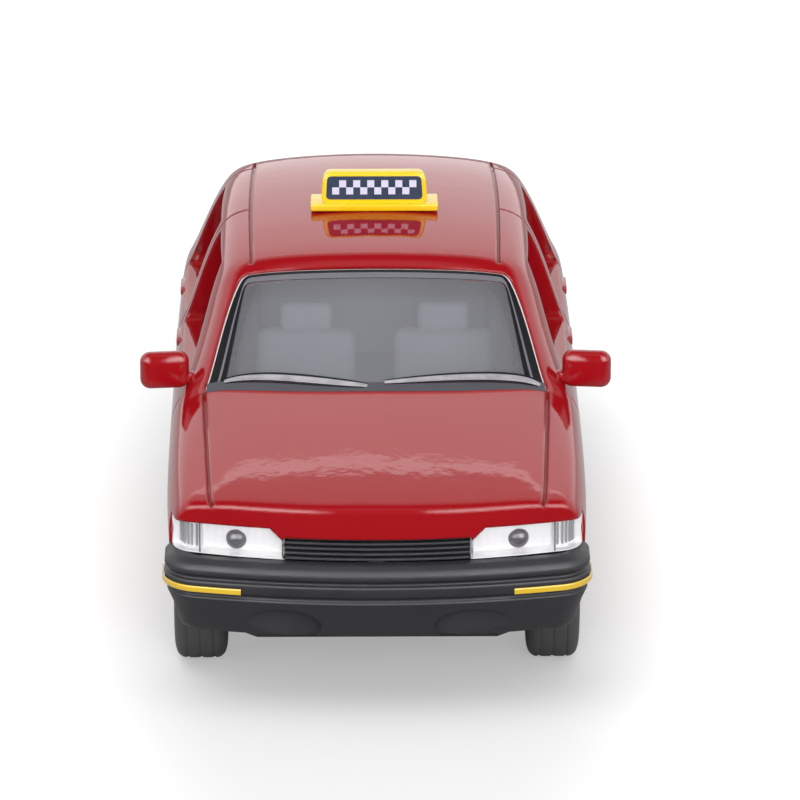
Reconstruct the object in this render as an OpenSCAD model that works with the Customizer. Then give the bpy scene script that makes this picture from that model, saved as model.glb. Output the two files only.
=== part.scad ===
// Toy taxi: a small die-cast five-door hatchback with a roof sign.
// The front of the car points to -Y, the ground is at z = 0, all sizes are millimetres.
// Along the car, stations (s) are measured back from the tip of the front bumper.

/* [Body] */
// Length over both bumpers
body_l = 56.6; // [54:0.1:60]
// Width across the doors
body_w = 25.4; // [24.6:0.1:27]
// Height of the roof crown
roof_h = 21.6; // [21:0.1:23]
// Height of the bottom edge of the sills
sill_h = 4.6; // [4.2:0.1:5]
// Wall of the casting
wall = 1.1; // [0.9:0.05:1.3]

/* [Profile] */
// Height of the hood crown at its lip
hood_h = 12.5; // [12.2:0.1:13]
// Height of the hood crown at the windscreen
cowl_h = 15.2; // [14.8:0.1:15.6]
// Height of the tail crown under the hatch glass
tail_h = 13.2; // [12.8:0.1:13.8]
// Station of the windscreen base
screen_s = 15.5; // [15:0.1:16]
// Run of the windscreen along the car
screen_run = 8.3; // [7.8:0.1:9]
// Run of the sloping hatch along the car
hatch_run = 7.3; // [6.8:0.1:8]
// Drop of the roof crown at the windscreen header
header_drop = 0.5; // [0.3:0.05:0.8]
// Drop of the roof crown at the hatch
roof_fall = 1.05; // [0.8:0.05:1.3]
// Height of the belt line at the windscreen
belt_h = 13.4; // [13:0.1:13.8]
// Rise of the belt line to the back
belt_rise = 0.8; // [0.4:0.1:1.1]
// Distance of the roof rails in from the doors
rail_in = 3.2; // [2.8:0.1:3.5]
// Height of the roof crown over the rails
rail_drop = 1.6; // [1.4:0.1:1.8]
// Bow of the nose seen from above
nose_bow = 2.3; // [2:0.1:2.6]
// Bow of the tail seen from above
tail_bow = 1.9; // [1.5:0.1:2.2]

/* [Doors] */
// Station of the front edge of the front door
door_s = 18.2; // [17.4:0.1:19]
// Share of both doors that the front door takes
front_share = 0.607; // [0.56:0.01:0.64]
// Distance of the rear door's back edge before the rear axle
door_back = 3.6; // [3:0.1:4.2]
// Width of the pillar between the side windows
pillar_w = 1.6; // [1.2:0.1:2]
// Width of a panel line
line_w = 0.26; // [0.2:0.02:0.34]
// Depth of a panel line
line_d = 0.24; // [0.16:0.02:0.3]
// Length of a door handle
handle_l = 2.2; // [1.6:0.1:2.6]

/* [Wheels] */
// Distance of the rear axle from the tip of the rear bumper
rear_hang = 9.1; // [8.8:0.1:9.6]
// Station of the front axle
axle_s = 10.9; // [10.5:0.1:11.2]
// Radius of a tyre
tyre_r = 4.5; // [4.2:0.05:4.7]
// Width of a tyre
tyre_w = 3.2; // [2.8:0.1:3.4]
// Distance of a tyre's outer face in from the doors
tyre_in = 0.5; // [0.3:0.05:0.7]
// Radius of the rim
rim_r = 2.9; // [2.6:0.05:3.2]
// Radius of an axle
axle_r = 0.6; // [0.5:0.05:0.7]
// Radial play of an axle in its bearing
axle_play = 0.05; // [0.03:0.01:0.08]
// Gap between a tyre and its wheel arch
arch_gap = 0.75; // [0.6:0.05:0.9]

/* [Bumpers] */
// Height of the lower lip of a bumper
bumper_low = 4.7; // [4.5:0.1:5]
// Height of the top shelf of a bumper
bumper_top = 9.4; // [9.2:0.1:9.6]
// Thickness of a bumper moulding
bumper_t = 1.3; // [1.2:0.1:1.5]
// Bow of the front bumper seen from above
bumper_bow = 1.9; // [1.6:0.1:2.2]
// Corner radius of a bumper seen from above
bumper_r = 2.4; // [2:0.1:2.8]
// Reach of the front bumper back along the side
front_wrap = 5.2; // [4.8:0.1:5.4]
// Reach of the rear bumper forward along the side
rear_wrap = 3.5; // [3:0.1:3.7]
// Distance of the lower lip of a bumper in from its face
bumper_lean = 0.95; // [0.7:0.05:1.1]
// Height of one groove between the bumper ribs
rib_gap = 0.2; // [0.15:0.05:0.3]
// Depth of the bumper grooves and scoops
rib_d = 0.28; // [0.2:0.02:0.34]

/* [Lights] */
// Height of a headlight
lamp_h = 1.85; // [1.7:0.05:2]
// Half gap between the headlights, filled by the grille
grille_x = 5.5; // [5.2:0.1:5.8]
// Height of the grille opening
grille_h = 1.3; // [1.1:0.05:1.5]
// Thickness of a lamp lens
lens_t = 0.5; // [0.4:0.05:0.6]
// Height of a tail light
tail_lamp_h = 2.6; // [2.2:0.1:2.9]
// Width of a tail light seen from behind
tail_lamp_w = 4.5; // [4:0.1:5]

/* [Sign] */
// Width of the sign box
sign_w = 6.7; // [6:0.1:7.4]
// Height of the sign with its foot
sign_h = 2.4; // [2.2:0.1:2.7]
// Depth of the sign box at its top
sign_d = 0.9; // [0.8:0.1:1.2]
// Width of the sign's foot
foot_w = 8; // [7.6:0.1:8.6]
// Depth of the sign's foot
foot_d = 2.4; // [2.2:0.1:2.8]
// Thickness of the sign's foot
foot_t = 0.45; // [0.4:0.05:0.6]
// Place of the sign along the roof, as a share of the roof
sign_share = 0.364; // [0.3:0.01:0.5]

/* [Cabin] */
// Height of the cabin floor
floor_h = 6.4; // [6.2:0.1:6.8]
// Width of a front seat
seat_w = 6.6; // [6:0.1:7]
// Radius of the steering wheel
steer_r = 2.2; // [1.9:0.1:2.4]
// Width of a door mirror
mirror_w = 2.9; // [2.5:0.1:3.2]
// Height of a door mirror
mirror_h = 2.3; // [2:0.1:2.5]

/* [Chassis] */
// Height of the flat underside
base_h = 3.4; // [3.2:0.1:3.6]
// Station of the front edge of the base plate
base_front = 4.6; // [4.2:0.1:5]
// Distance of the base plate from the tip of the rear bumper
base_rear = 2.6; // [2.5:0.1:3]
// Thickness of the base plate
base_t = 1.6; // [1.4:0.1:1.8]
// Radius of a base screw's shank
screw_r = 0.55; // [0.5:0.05:0.65]

/* [Fits] */
// Gap between pieces that sit in each other
seat_gap = 0.06; // [0.04:0.01:0.1]

/* [Hidden] */

half_w = body_w / 2;
rail_x = half_w - rail_in;
track_half = half_w - tyre_in;
tail_lamp_x = half_w - tail_lamp_w;
header_s = screen_s + screen_run;
header_h = roof_h - header_drop;
nose_s = 1.05;
tail_s = body_l - 1.3;
hatch_s = tail_s - hatch_run;
hatch_h = roof_h - roof_fall;
rear_axle_s = body_l - rear_hang;
door_end_s = rear_axle_s - door_back;
split_s = door_s + front_share * (door_end_s - door_s);
sign_s = header_s + sign_share * (hatch_s - header_s);
arch_r = tyre_r + arch_gap;
tyre_x = track_half - tyre_w;
lamp_low = bumper_top + seat_gap;
post_r = 1.5;
front_post_s = 7.1;
rear_post_s = tail_s - 4.2;

function mix(a, b, f) = a + (b - a) * f;
function unit(v) = v / norm(v);
function last(a) = a[len(a) - 1];
// A point at a station along the car
function at(x, s, z) = [x, s - body_l / 2, z];

// The lines of the body, as stations: [s, bow, drawn in, belt, rail x, rail z, crown].
// f runs from 0 to 1 along the hood, the windscreen, the roof and the hatch.
function hood_line(f) = let (crown = mix(hood_h, cowl_h, pow(f, 0.7)))
    [mix(nose_s, screen_s, f), mix(nose_bow, tail_bow, f), 0.75 * pow(1 - f, 4),
     mix(hood_h - 0.75, belt_h, pow(f, 0.6)), mix(rail_x + 0.2, rail_x + 0.85, f),
     crown - mix(0.15, 0.5, f), crown];
function screen_line(f) = let (crown = mix(cowl_h, header_h, f))
    [mix(screen_s, header_s, f), mix(1.9, 1.2, f), 0, belt_h, mix(rail_x + 0.9, rail_x, f),
     mix(cowl_h - 0.5, header_h - rail_drop, f) + 0.25 * sin(180 * f), crown];
function roof_line(f) =
    let (front = header_drop * pow(max(0, 1 - f / 0.25), 2))
    let (back = roof_fall * pow(max(0, (f - 0.45) / 0.55), 2.2))
    let (crown = roof_h + 0.05 - front - back)
    [mix(header_s, hatch_s, f), mix(1.2, -1.2, f), 0.2 * pow(f, 4), belt_h + belt_rise * f,
     rail_x + 0.25 * sin(180 * f), crown - mix(rail_drop, rail_drop - 0.2, f), crown];
function hatch_line(f) = let (crown = mix(hatch_h, tail_h, f) + 0.5 * sin(180 * f))
    [mix(hatch_s, tail_s, f), mix(-1.2, -tail_bow, f), mix(0.2, 0.95, f),
     mix(belt_h + belt_rise, tail_h - 1.5, pow(f, 1.3)), mix(rail_x, rail_x - 1, f),
     crown - mix(rail_drop - 0.2, 0.4, f), crown];
lines = concat(
    [for (f = [0, 0.08, 0.34, 0.69, 0.925, 1]) hood_line(f)],
    [for (f = [0.1, 0.52, 0.88]) screen_line(f)],
    [for (f = [0, 0.058, 0.25, 0.5, 0.73, 0.9, 1]) roof_line(f)],
    [for (f = [0.16, 0.57, 0.87, 1]) hatch_line(f)]);

// Half a cross-section from the sill up the side, over the rail to the middle of the roof
function half_section(st) =
    let (w = half_w - st[2], belt = st[3], rail = [st[4], st[5]], crown = st[6])
    let (shoulder = [w - 0.9, belt + 0.6])
    [[w - 1.45, sill_h], [w - 0.65, sill_h + 0.4], [w - 0.2, sill_h + 2.6], [w, sill_h + 5.6],
     [w - 0.15, belt - 1], [w - 0.5, belt], shoulder, mix(shoulder, rail, 0.55) + [0.15, 0],
     rail, [rail[0] - 1.05, mix(rail[1], crown, 0.62)], [rail[0] / 2, crown - 0.15], [0, crown]];
// How far each point of the half section moves in and down when the skin is drawn in by 1 mm
inset_x = [1, 1, 1, 1, 1, 0.97, 0.93, 0.9, 0.75, 0.45, 0.1, 0];
inset_z = [2.2, 1.2, 0, 0, 0.1, 0.25, 0.3, 0.4, 0.7, 0.92, 1, 1];
function drawn_section(st, d) =
    [for (i = [0:11]) half_section(st)[i] - d * [inset_x[i], inset_z[i]]];
// A whole ring of the control net, bowed along the car, from the right sill to the left one
function ring(st, d) =
    let (half = drawn_section(st, d), s0 = body_l / 2 + (st[0] - body_l / 2) * (1 - 2 * d / body_l))
    let (right = [for (p = half) at(p[0], s0 + st[1] * pow(p[0] / half_w, 2), p[1])])
    concat(right, [for (i = [10:-1:0]) [-right[i][0], right[i][1], right[i][2]]]);
// The rings that close the nose or the tail, drawn together on the middle of its end face
end_z = 8.2;
function end_ring(st, d, k) =
    let (half = [for (p = drawn_section(st, d)) [p[0] * k, end_z + (p[1] - end_z) * k]])
    let (s0 = body_l / 2 + (st[0] - body_l / 2) * (1 - 2 * d / body_l))
    let (right = [for (p = half) at(p[0], s0 + st[1] * pow(p[0] / half_w, 2), p[1])])
    concat(right, [for (i = [10:-1:0]) [-right[i][0], right[i][1], right[i][2]]]);
end_steps = [0.2, 0.55, 0.82, 0.94];
function stretched(row) = concat([2 * row[0] - row[1]], row, [2 * last(row) - row[len(row) - 2]]);
function net(d) = stretched([for (r = concat(
    [for (k = end_steps) end_ring(lines[0], d, k)],
    [for (st = lines) ring(st, d)],
    [for (i = [3:-1:0]) end_ring(last(lines), d, end_steps[i])])) stretched(r)]);
first_row = len(end_steps);
row_count = len(lines) + 2 * first_row;
mid_col = 11;
// The row of the net whose side lies at a station
function row_at(s) = lookup(s, [for (i = [0:len(lines) - 1]) [lines[i][0] + lines[i][1], i + first_row]]);

// A point of the smooth skin over a net: a uniform cubic spline both ways
function spline(t) = [pow(1 - t, 3), 3 * pow(t, 3) - 6 * t * t + 4,
                      3 * t + 3 * t * t - 3 * pow(t, 3) + 1, pow(t, 3)] / 6;
function skin(n, u, v) =
    let (i = min(floor(u), len(n) - 4), j = min(floor(v), len(n[0]) - 4), b = spline(v - j))
    spline(u - i) * [for (k = [i:i + 3]) b * [n[k][j], n[k][j + 1], n[k][j + 2], n[k][j + 3]]];
function skin_normal(n, u, v) =
    let (e = 0.05, du = skin(n, u + e, v) - skin(n, max(0, u - e), v))
    let (dv = skin(n, u, v + e) - skin(n, u, max(0, v - e)))
    unit(cross(du, dv));
skin_net = net(0);
function lifted(u, v, h) = skin(skin_net, u, v) + h * skin_normal(skin_net, u, v);

// A closed solid through rings of points, each ring anticlockwise seen from the first one's side
module rings_solid(rings) {
    m = len(rings[0]);
    n = len(rings);
    polyhedron(points = [for (r = rings) each r], faces = concat(
        [[for (j = [m - 1:-1:0]) j]],
        [for (i = [0:n - 2], j = [0:m - 1]) let (k = (j + 1) % m)
            each [[i * m + j, i * m + k, (i + 1) * m + k], [i * m + j, (i + 1) * m + k, (i + 1) * m + j]]],
        [[for (j = [0:m - 1]) (n - 1) * m + j]]), convexity = 8);
}
// A closed solid between two grids of points, the first one outside
module slab(top, bottom) {
    m = len(top[0]);
    n = len(top);
    size = m * n;
    function low(i, j) = size + i * m + j;
    function high(i, j) = i * m + j;
    polyhedron(points = concat([for (r = top) each r], [for (r = bottom) each r]), faces = concat(
        [for (i = [0:n - 2], j = [0:m - 2]) each [
            [high(i, j), high(i, j + 1), high(i + 1, j + 1)],
            [high(i, j), high(i + 1, j + 1), high(i + 1, j)],
            [low(i, j), low(i + 1, j + 1), low(i, j + 1)], [low(i, j), low(i + 1, j), low(i + 1, j + 1)]]],
        [for (i = [0:n - 2]) each [
            [high(i, 0), high(i + 1, 0), low(i + 1, 0)], [high(i, 0), low(i + 1, 0), low(i, 0)],
            [high(i, m - 1), low(i + 1, m - 1), high(i + 1, m - 1)],
            [high(i, m - 1), low(i, m - 1), low(i + 1, m - 1)]]],
        [for (j = [0:m - 2]) each [
            [high(0, j), low(0, j + 1), high(0, j + 1)], [high(0, j), low(0, j), low(0, j + 1)],
            [high(n - 1, j), high(n - 1, j + 1), low(n - 1, j + 1)],
            [high(n - 1, j), low(n - 1, j + 1), low(n - 1, j)]]]), convexity = 6);
}
// The whole body drawn in by d, as one solid with the given number of steps in each cell
module skin_solid(d, steps) {
    n = net(d);
    rings_solid([for (i = [0:(row_count - 1) * steps])
        [for (j = [0:2 * mid_col * steps]) skin(n, i / steps, j / steps)]]);
}
// A thin strip along a path of [row, column] on the skin, its section as [across, out]
module skin_strip(path, section) {
    n = len(path);
    spots = [for (p = path) skin(skin_net, p[0], p[1])];
    rings_solid([for (i = [0:n - 1])
        let (t = unit(spots[min(i + 1, n - 1)] - spots[max(i - 1, 0)]))
        let (up = skin_normal(skin_net, path[i][0], path[i][1]), across = unit(cross(t, up)))
        [for (q = section) spots[i] + q[0] * across + q[1] * up]]);
}
// A strip along a plan path of [point, outward], its section as [out, height]
module plan_sweep(path, section) {
    rings_solid([for (p = path) [for (q = section)
        at(p[0][0] + q[0] * p[1][0], p[0][1] + q[0] * p[1][1], q[1])]]);
}
// Half of a bowed end with a round corner: [point, outward] from the middle back along the side
function end_path(w, s0, bow, r, reach) =
    let (xe = w - 0.78 * r, slope = 2 * bow * xe / (w * w), a0 = atan(slope))
    let (c = [xe - r * sin(a0), s0 + bow * pow(xe / w, 2) + r * cos(a0)])
    concat([for (k = [0:4]) let (x = xe * k / 4)
                [[x, s0 + bow * pow(x / w, 2)], unit([2 * bow * x / (w * w), -1])]],
           [for (k = [1:5]) let (a = mix(a0, 90, k / 5)) [c + r * [sin(a), -cos(a)], [sin(a), -cos(a)]]],
           [[[c[0] + r, max(reach, c[1] + 0.1)], [1, 0]]]);
function mirrored(path) = [for (i = [len(path) - 1:-1:0])
    [[-path[i][0][0], path[i][0][1]], [-path[i][1][0], path[i][1][1]]]];
function whole(path) = concat([for (p = mirrored(path)) p], [for (i = [1:len(path) - 1]) path[i]]);
// The part of a half path that lies further out than x
function outer_part(path, x) =
    let (i = max([for (k = [0:len(path) - 2]) if (path[k][0][0] <= x) k]), a = path[i], b = path[i + 1])
    concat([mix(a, b, (x - a[0][0]) / (b[0][0] - a[0][0]))], [for (k = [i + 1:len(path) - 1]) path[k]]);
front_path = end_path(half_w, 0, bumper_bow, bumper_r, front_wrap);
rear_path = end_path(half_w, 0, tail_bow, bumper_r - 0.4, rear_wrap);
front_reach = last(front_path)[0][1];
rear_reach = last(rear_path)[0][1];
lamp_path = end_path(half_w - 0.55, nose_s + 0.05, nose_bow, 1.8, 4.4);
lamp_reach = last(lamp_path)[0][1];
lamp_cut_path = end_path(half_w - 0.55, nose_s + 0.05, nose_bow, 1.8, lamp_reach + seat_gap);
tail_lamp_path = end_path(half_w - 0.75, body_l - tail_s - 0.1, tail_bow, 1.8, 5);
module at_rear() {
    rotate([0, 0, 180]) children();
}
module on_left(left) {
    mirror([left ? 0 : 1, 0, 0]) children();
}

// Windscreen and hatch glass: patches of the skin with round corners
screen_rows = [first_row + 5.2, first_row + 8.35];
screen_cols = [8.05, 9.1];
rear_rows = [first_row + 15.6, first_row + 17.5];
rear_cols = [8.75, 8.6];
function corner(q) = let (e = max(0, 1 - min(q, 1 - q) / 0.09)) 1 - 0.05 * (1 - sqrt(max(0, 1 - e * e)));
glass_steps = [0, 0.02, 0.05, 0.09, 0.3, 0.5, 0.7, 0.91, 0.95, 0.98, 1];
function glass_grid(rows, cols, h, grow) = [for (q = glass_steps)
    [for (p = [-1:0.25:1])
        let (k = 0.5 + (q - 0.5) * (1 + grow))
        lifted(mix(rows[0], rows[1], k),
               mid_col + p * (1 + grow) * corner(q) * (mid_col - mix(cols[0], cols[1], k)), h)]];
module glass_pad(rows, cols, out, depth, grow) {
    slab(glass_grid(rows, cols, out, grow), glass_grid(rows, cols, -depth, grow));
}

// Side windows in the side view, with round corners
module window_outline(corners) {
    hull() for (c = corners) translate([c[0] - body_l / 2, c[1]]) circle(r = 0.55, $fn = 24);
}
window_low = belt_h + 0.95;
window_top = roof_h - rail_drop - 0.6;
module side_windows() {
    front_end = split_s - pillar_w / 2 - 0.55;
    rear_start = split_s + pillar_w / 2 + 0.55;
    for (corners = [
        [[door_s + 3, window_low], [front_end, window_low + 0.15],
         [front_end, window_top], [header_s + 3.4, window_top - 0.2]],
        [[rear_start, window_low + 0.15], [door_end_s - 0.6, window_low + 0.45],
         [door_end_s - 1.3, window_top - 0.2], [rear_start, window_top]]])
        for (side = [0, 1]) mirror([side, 0, 0])
            rotate([90, 0, 90]) translate([0, 0, half_w - 5]) linear_extrude(6) window_outline(corners);
}

// Panel lines: hood edges, roof ditches, door edges and the hatch
module panel_line(path) {
    skin_strip(path, [[0, -line_d], [line_w, 0.3], [-line_w, 0.3]]);
}
function run(u0, u1, v0, v1, n) = [for (i = [0:n]) [mix(u0, u1, i / n), mix(v0, v1, i / n)]];
function both(paths) = concat(paths, [for (p = paths) [for (q = p) [q[0], 2 * mid_col - q[1]]]]);
module panel_lines() {
    ditch_v = 9.15;
    for (path = both([
        run(first_row - 0.2, first_row + 5, 7.8, 7.8, 12),
        run(first_row + 9, first_row + 15, ditch_v, ditch_v, 12),
        run(row_at(door_s), row_at(door_s), 0.6, 5.6, 10),
        run(row_at(split_s), row_at(split_s), 0.6, ditch_v, 18),
        run(row_at(door_end_s), row_at(door_end_s), 3.4, ditch_v, 14),
        run(first_row + 15.2, last_hatch, 7.9, 7.6, 8)]))
        panel_line(path);
    panel_line(run(first_row + 15.2, first_row + 15.2, 7.9, 2 * mid_col - 7.9, 12));
}
last_hatch = first_row + len(lines) - 0.6;

module door_handles() {
    for (side = [1, -1], s = [split_s - 0.86 * handle_l, door_end_s - 1.18 * handle_l])
        let (u = row_at(s), spot = skin(skin_net, u, 4.55))
        hull() for (k = [-1, 1])
            translate([side * (spot[0] - 0.2), spot[1] + k * (handle_l / 2 - 0.3), spot[2]])
                rotate([0, 90, 0]) cylinder(r1 = 0.36, r2 = 0.26, h = 0.36, $fn = 12);
}

// Screw posts under the hood and in the tail
module screw_posts(r, top) {
    for (s = [front_post_s, rear_post_s])
        translate(at(0, s, base_h + base_t + seat_gap)) cylinder(r = r, h = top, $fn = 32);
}

module wheel_arches() {
    for (side = [1, -1], s = [axle_s, rear_axle_s])
        translate(at(side * (half_w - 1.7), s, tyre_r)) rotate([0, 90, 0])
            cylinder(r = arch_r, h = 6, center = true, $fn = 56);
}

// Room for the bumpers, lamps and grille in the nose and tail
module end_cuts() {
    deep = 2.4;
    cut_h = bumper_top - sill_h + 6;
    translate(at(-half_w - 1, -1, bumper_top + seat_gap - cut_h))
        cube([body_w + 2, front_reach + 1 + seat_gap, cut_h]);
    translate(at(-half_w - 1, body_l - rear_reach - seat_gap, bumper_top + seat_gap - cut_h))
        cube([body_w + 2, rear_reach + 2, cut_h]);
    translate(at(-grille_x - seat_gap, -1, bumper_top - 0.5))
        cube([2 * (grille_x + seat_gap), nose_s + 3, grille_h + 0.5 + 2 * seat_gap]);
    for (left = [true, false]) on_left(left) {
        lamp_top = lamp_low + lamp_h + seat_gap;
        tail_top = lamp_low + tail_lamp_h + seat_gap;
        lamp_block(lamp_cut_path, 1, deep, lamp_low - 1, lamp_top, seat_gap);
        at_rear() plan_sweep(outer_part(tail_lamp_path, tail_lamp_x - 0.1),
            [[-1.2, lamp_low - 1], [1, lamp_low - 1], [1, tail_top], [-1.2, tail_top]]);
    }
}

mirror_s = door_s + 1.3;
mirror_z = belt_h + 1.75;
peg_r = 0.4;
sign_peg_r = 0.7;
roof_seat = skin(skin_net, row_at(sign_s), mid_col)[2] + 0.02;
module peg_holes(grow) {
    translate(at(0, mirror_s, mirror_z - 0.5)) rotate([0, 90, 0])
        cylinder(r = peg_r + grow, h = 2 * half_w + 4, center = true, $fn = 24);
    translate(at(0, sign_s, roof_seat - 3)) cylinder(r = sign_peg_r + grow, h = 4, $fn = 24);
}

module body_shell() {
    color("firebrick") difference() {
        union() {
            difference() {
                skin_solid(0, 1);
                skin_solid(wall, 1);
            }
            intersection() {
                skin_solid(wall / 2, 1);
                screw_posts(post_r, roof_h);
            }
            door_handles();
        }
        glass_pad(screen_rows, screen_cols, 1, wall + 1.4, 0.01);
        glass_pad(rear_rows, rear_cols, 1, wall + 1.4, 0.01);
        side_windows();
        wheel_arches();
        end_cuts();
        panel_lines();
        peg_holes(seat_gap);
        screw_posts(screw_r + seat_gap, 5);
    }
}

// Clear mouldings: flush panes in the windscreen and the hatch, and a pane inside each side
glass_gap = 0.2;
glass_t = 0.7;
pane_sink = 0.12;
module windscreen() {
    color("lightsteelblue", 0.5) glass_pad(screen_rows, screen_cols, -pane_sink, wall + pane_sink, 0);
}
module rear_window() {
    color("lightsteelblue", 0.5) glass_pad(rear_rows, rear_cols, -pane_sink, wall + pane_sink, 0);
}
// The upper edge of a side pane clears the windscreen, then runs up under the roof rail
function pane_edge(u) = min(9, 8 + 0.5 * (u - first_row - 7));
module side_glass(left) {
    rows = [first_row + 7:first_row + 15];
    outer = net(wall + glass_gap);
    inner = net(wall + glass_gap + glass_t);
    color("lightsteelblue", 0.5) on_left(left)
        slab([for (u = rows) [for (v = [5, 6, 7, pane_edge(u)]) skin(outer, u, v)]],
             [for (u = rows) [for (v = [5, 6, 7, pane_edge(u)]) skin(inner, u, v)]]);
}

// Two arms with blades, parked along the bottom of the windscreen
module wipers() {
    low = screen_rows[0] + 0.12;
    rise = 0.4;
    color("silver") for (ends = [[8.3, 10.9], [11.1, 13.2]])
        skin_strip([for (i = [0:8]) let (f = i / 8) [low + rise * sin(150 * f), mix(ends[0], ends[1], f)]],
                   [[-0.14, 0], [0.14, 0], [0.1, 0.22], [-0.1, 0.22]]);
}

// Black slats between the headlights
module grille() {
    top = bumper_top + grille_h;
    depth = 0.9;
    s0 = nose_s + 0.25;
    path = [for (k = [-4:4]) let (x = (grille_x - seat_gap) * k / 4)
        [[x, s0 + nose_bow * pow(x / half_w, 2)], unit([2 * nose_bow * x / pow(half_w, 2), -1])]];
    low = bumper_top + seat_gap;
    slat_n = 4;
    slat = (top - low) / slat_n;
    front = concat([for (i = [0:slat_n - 1]) let (z = low + i * slat, out = 0.16 - 0.04 * i)
        each [[out, z], [out - 0.01, z + slat * 0.6], [out - 0.3, z + slat * 0.85]]], [[0, top]]);
    function grid(deep) = [for (p = path) [for (q = front) let (d = deep ? -depth : q[0])
        at(p[0][0] + d * p[1][0], p[0][1] + d * p[1][1], q[1])]];
    color("#2b2b2e") slab(grid(false), grid(true));
}

// A ribbed bumper section as [out, height]
rib_a = bumper_top - 1.13;
rib_b = bumper_top - 2.15;
bumper_section = [
    [-bumper_t - 0.3, bumper_low + 0.3], [-bumper_lean - 0.15, bumper_low],
    [-bumper_lean + 0.1, bumper_low + 0.35], [-0.5 * bumper_lean, bumper_low + 1.6], [-0.12, rib_b - 0.15],
    [-rib_d - 0.04, rib_b], [-rib_d, rib_b + rib_gap], [-0.02, rib_b + rib_gap + 0.1],
    [0, rib_a - 0.1], [-rib_d + 0.02, rib_a], [-rib_d + 0.04, rib_a + rib_gap], [0, rib_a + rib_gap + 0.1],
    [-0.02, bumper_top - 0.5], [-0.22, bumper_top - 0.25], [-0.65, bumper_top], [-bumper_t, bumper_top]];
module scoops() {
    scoop = [2.3, 1.2];
    for (side = [1, -1]) translate(at(side * 0.44 * half_w, bumper_lean + 0.5, bumper_low + 0.7))
        rotate([90, 0, 0]) linear_extrude(2) scale(scoop) circle(r = 1, $fn = 32);
}
module front_bumper() {
    color("#333236") difference() {
        plan_sweep(whole(front_path), bumper_section);
        scoops();
    }
}
module rear_bumper() {
    color("#333236") at_rear() plan_sweep(whole(rear_path), bumper_section);
}
module indicator(left) {
    low = rib_b + rib_gap + 0.06;
    proud = 0.14;
    color("gold") on_left(left) plan_sweep(outer_part(front_path, half_w - 4.7),
        [[0.03, low], [proud, low + 0.06], [proud - 0.01, low + 0.36], [0.04, low + 0.42]]);
}

// Headlight: a lens over a silver tray with a round bowl and its bulb
bulb_x = grille_x + 2.8;
module lamp_block(path, out, depth, low, top, grow) {
    difference() {
        plan_sweep(outer_part(path, grille_x - 0.9),
            [[-depth, low], [out, low], [out - 0.12, top], [-depth, top]]);
        translate(at(grille_x + 1 - grow, -2, lamp_low + lamp_h + 0.1 + grow)) rotate([0, -45, 0])
            translate([-6, 0, 0]) cube([6, 8, 3]);
        translate(at(grille_x - 4 + seat_gap - grow, -2, low - 1)) cube([4, 8, lamp_h + 4]);
    }
}
module headlight_lens(left) {
    color("white", 0.4) on_left(left)
        lamp_block(lamp_path, 0, lens_t, lamp_low + seat_gap, lamp_low + lamp_h, 0);
}
module headlight_reflector(left) {
    spot = at(bulb_x, nose_s + nose_bow * pow(bulb_x / half_w, 2) + lens_t + 0.1, lamp_low + lamp_h / 2);
    color("gainsboro") union() {
        difference() {
            on_left(left) lamp_block(lamp_path, -lens_t - seat_gap, 1.9, lamp_low + seat_gap,
                lamp_low + lamp_h - 0.1, 0);
            on_left(left) translate(spot) sphere(r = 0.78, $fn = 32);
        }
        on_left(left) translate(spot + [0, 0.62, 0]) sphere(r = 0.36, $fn = 24);
    }
}
module tail_light(left) {
    color("darkred") at_rear() on_left(!left) plan_sweep(outer_part(tail_lamp_path, tail_lamp_x),
        [[-1, lamp_low], [0, lamp_low], [-0.1, lamp_low + tail_lamp_h], [-1, lamp_low + tail_lamp_h]]);
}

// Door mirror: a rounded housing on a short foot, pegged into the door
module door_mirror(left) {
    x0 = half_w - 0.95;
    color("firebrick") on_left(left) union() {
        hull() for (x = [x0 + 0.5, x0 + mirror_w - 0.95], z = [-1, 1])
            translate(at(x, mirror_s - (x - x0) * 0.12, mirror_z + z * (mirror_h / 2 - 0.7)))
                scale([1, 0.85, 1]) sphere(r = 0.7, $fn = 16);
        translate(at(x0 - 0.7, mirror_s, mirror_z - 0.5)) rotate([0, 90, 0])
            cylinder(r = peg_r, h = 1.4, $fn = 24);
    }
}

// Roof sign: a box on a flat foot, with an inlaid panel on both faces
panel_t = 0.25;
box_h = sign_h - foot_t;
box_d = foot_d - 0.8;
module rounded(w, h, r) {
    offset(r) square([w - 2 * r, h - 2 * r], center = true);
}
module sign_panels(grow) {
    for (k = [1, -1]) sign_panel(k, grow);
}
module sign_panel(k, grow) {
    lean = atan((box_d - sign_d) / 2 / box_h);
    translate(at(0, sign_s - k * (sign_d + box_d) / 4, roof_seat + foot_t + box_h / 2))
        rotate([90 - k * lean, 0, 0]) translate([0, 0, k > 0 ? -panel_t - grow : -grow])
            linear_extrude(panel_t + 2 * grow)
                rounded(sign_w - 0.6 + 2 * grow, box_h - 0.5 + 2 * grow, 0.3);
}
module sign_housing() {
    color("gold") difference() {
        union() {
            hull() {
                translate(at(0, sign_s, roof_seat + foot_t / 2)) {
                    cube([foot_w, foot_d, foot_t - 0.2], center = true);
                    cube([foot_w - 0.2, foot_d - 0.2, foot_t], center = true);
                }
            }
            hull() for (x = [-1, 1]) {
                translate(at(x * (sign_w / 2 - 0.1), sign_s, roof_seat + foot_t))
                    cube([0.2, box_d, 0.1], center = true);
                translate(at(x * (sign_w / 2 - 0.7), sign_s, roof_seat + sign_h - 0.5)) rotate([90, 0, 0])
                    cylinder(r = 0.5, h = sign_d, center = true, $fn = 32);
            }
            translate(at(0, sign_s, roof_seat - wall - 0.4))
                cylinder(r = sign_peg_r, h = wall + 0.6, $fn = 32);
        }
        sign_panels(seat_gap);
    }
}

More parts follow.
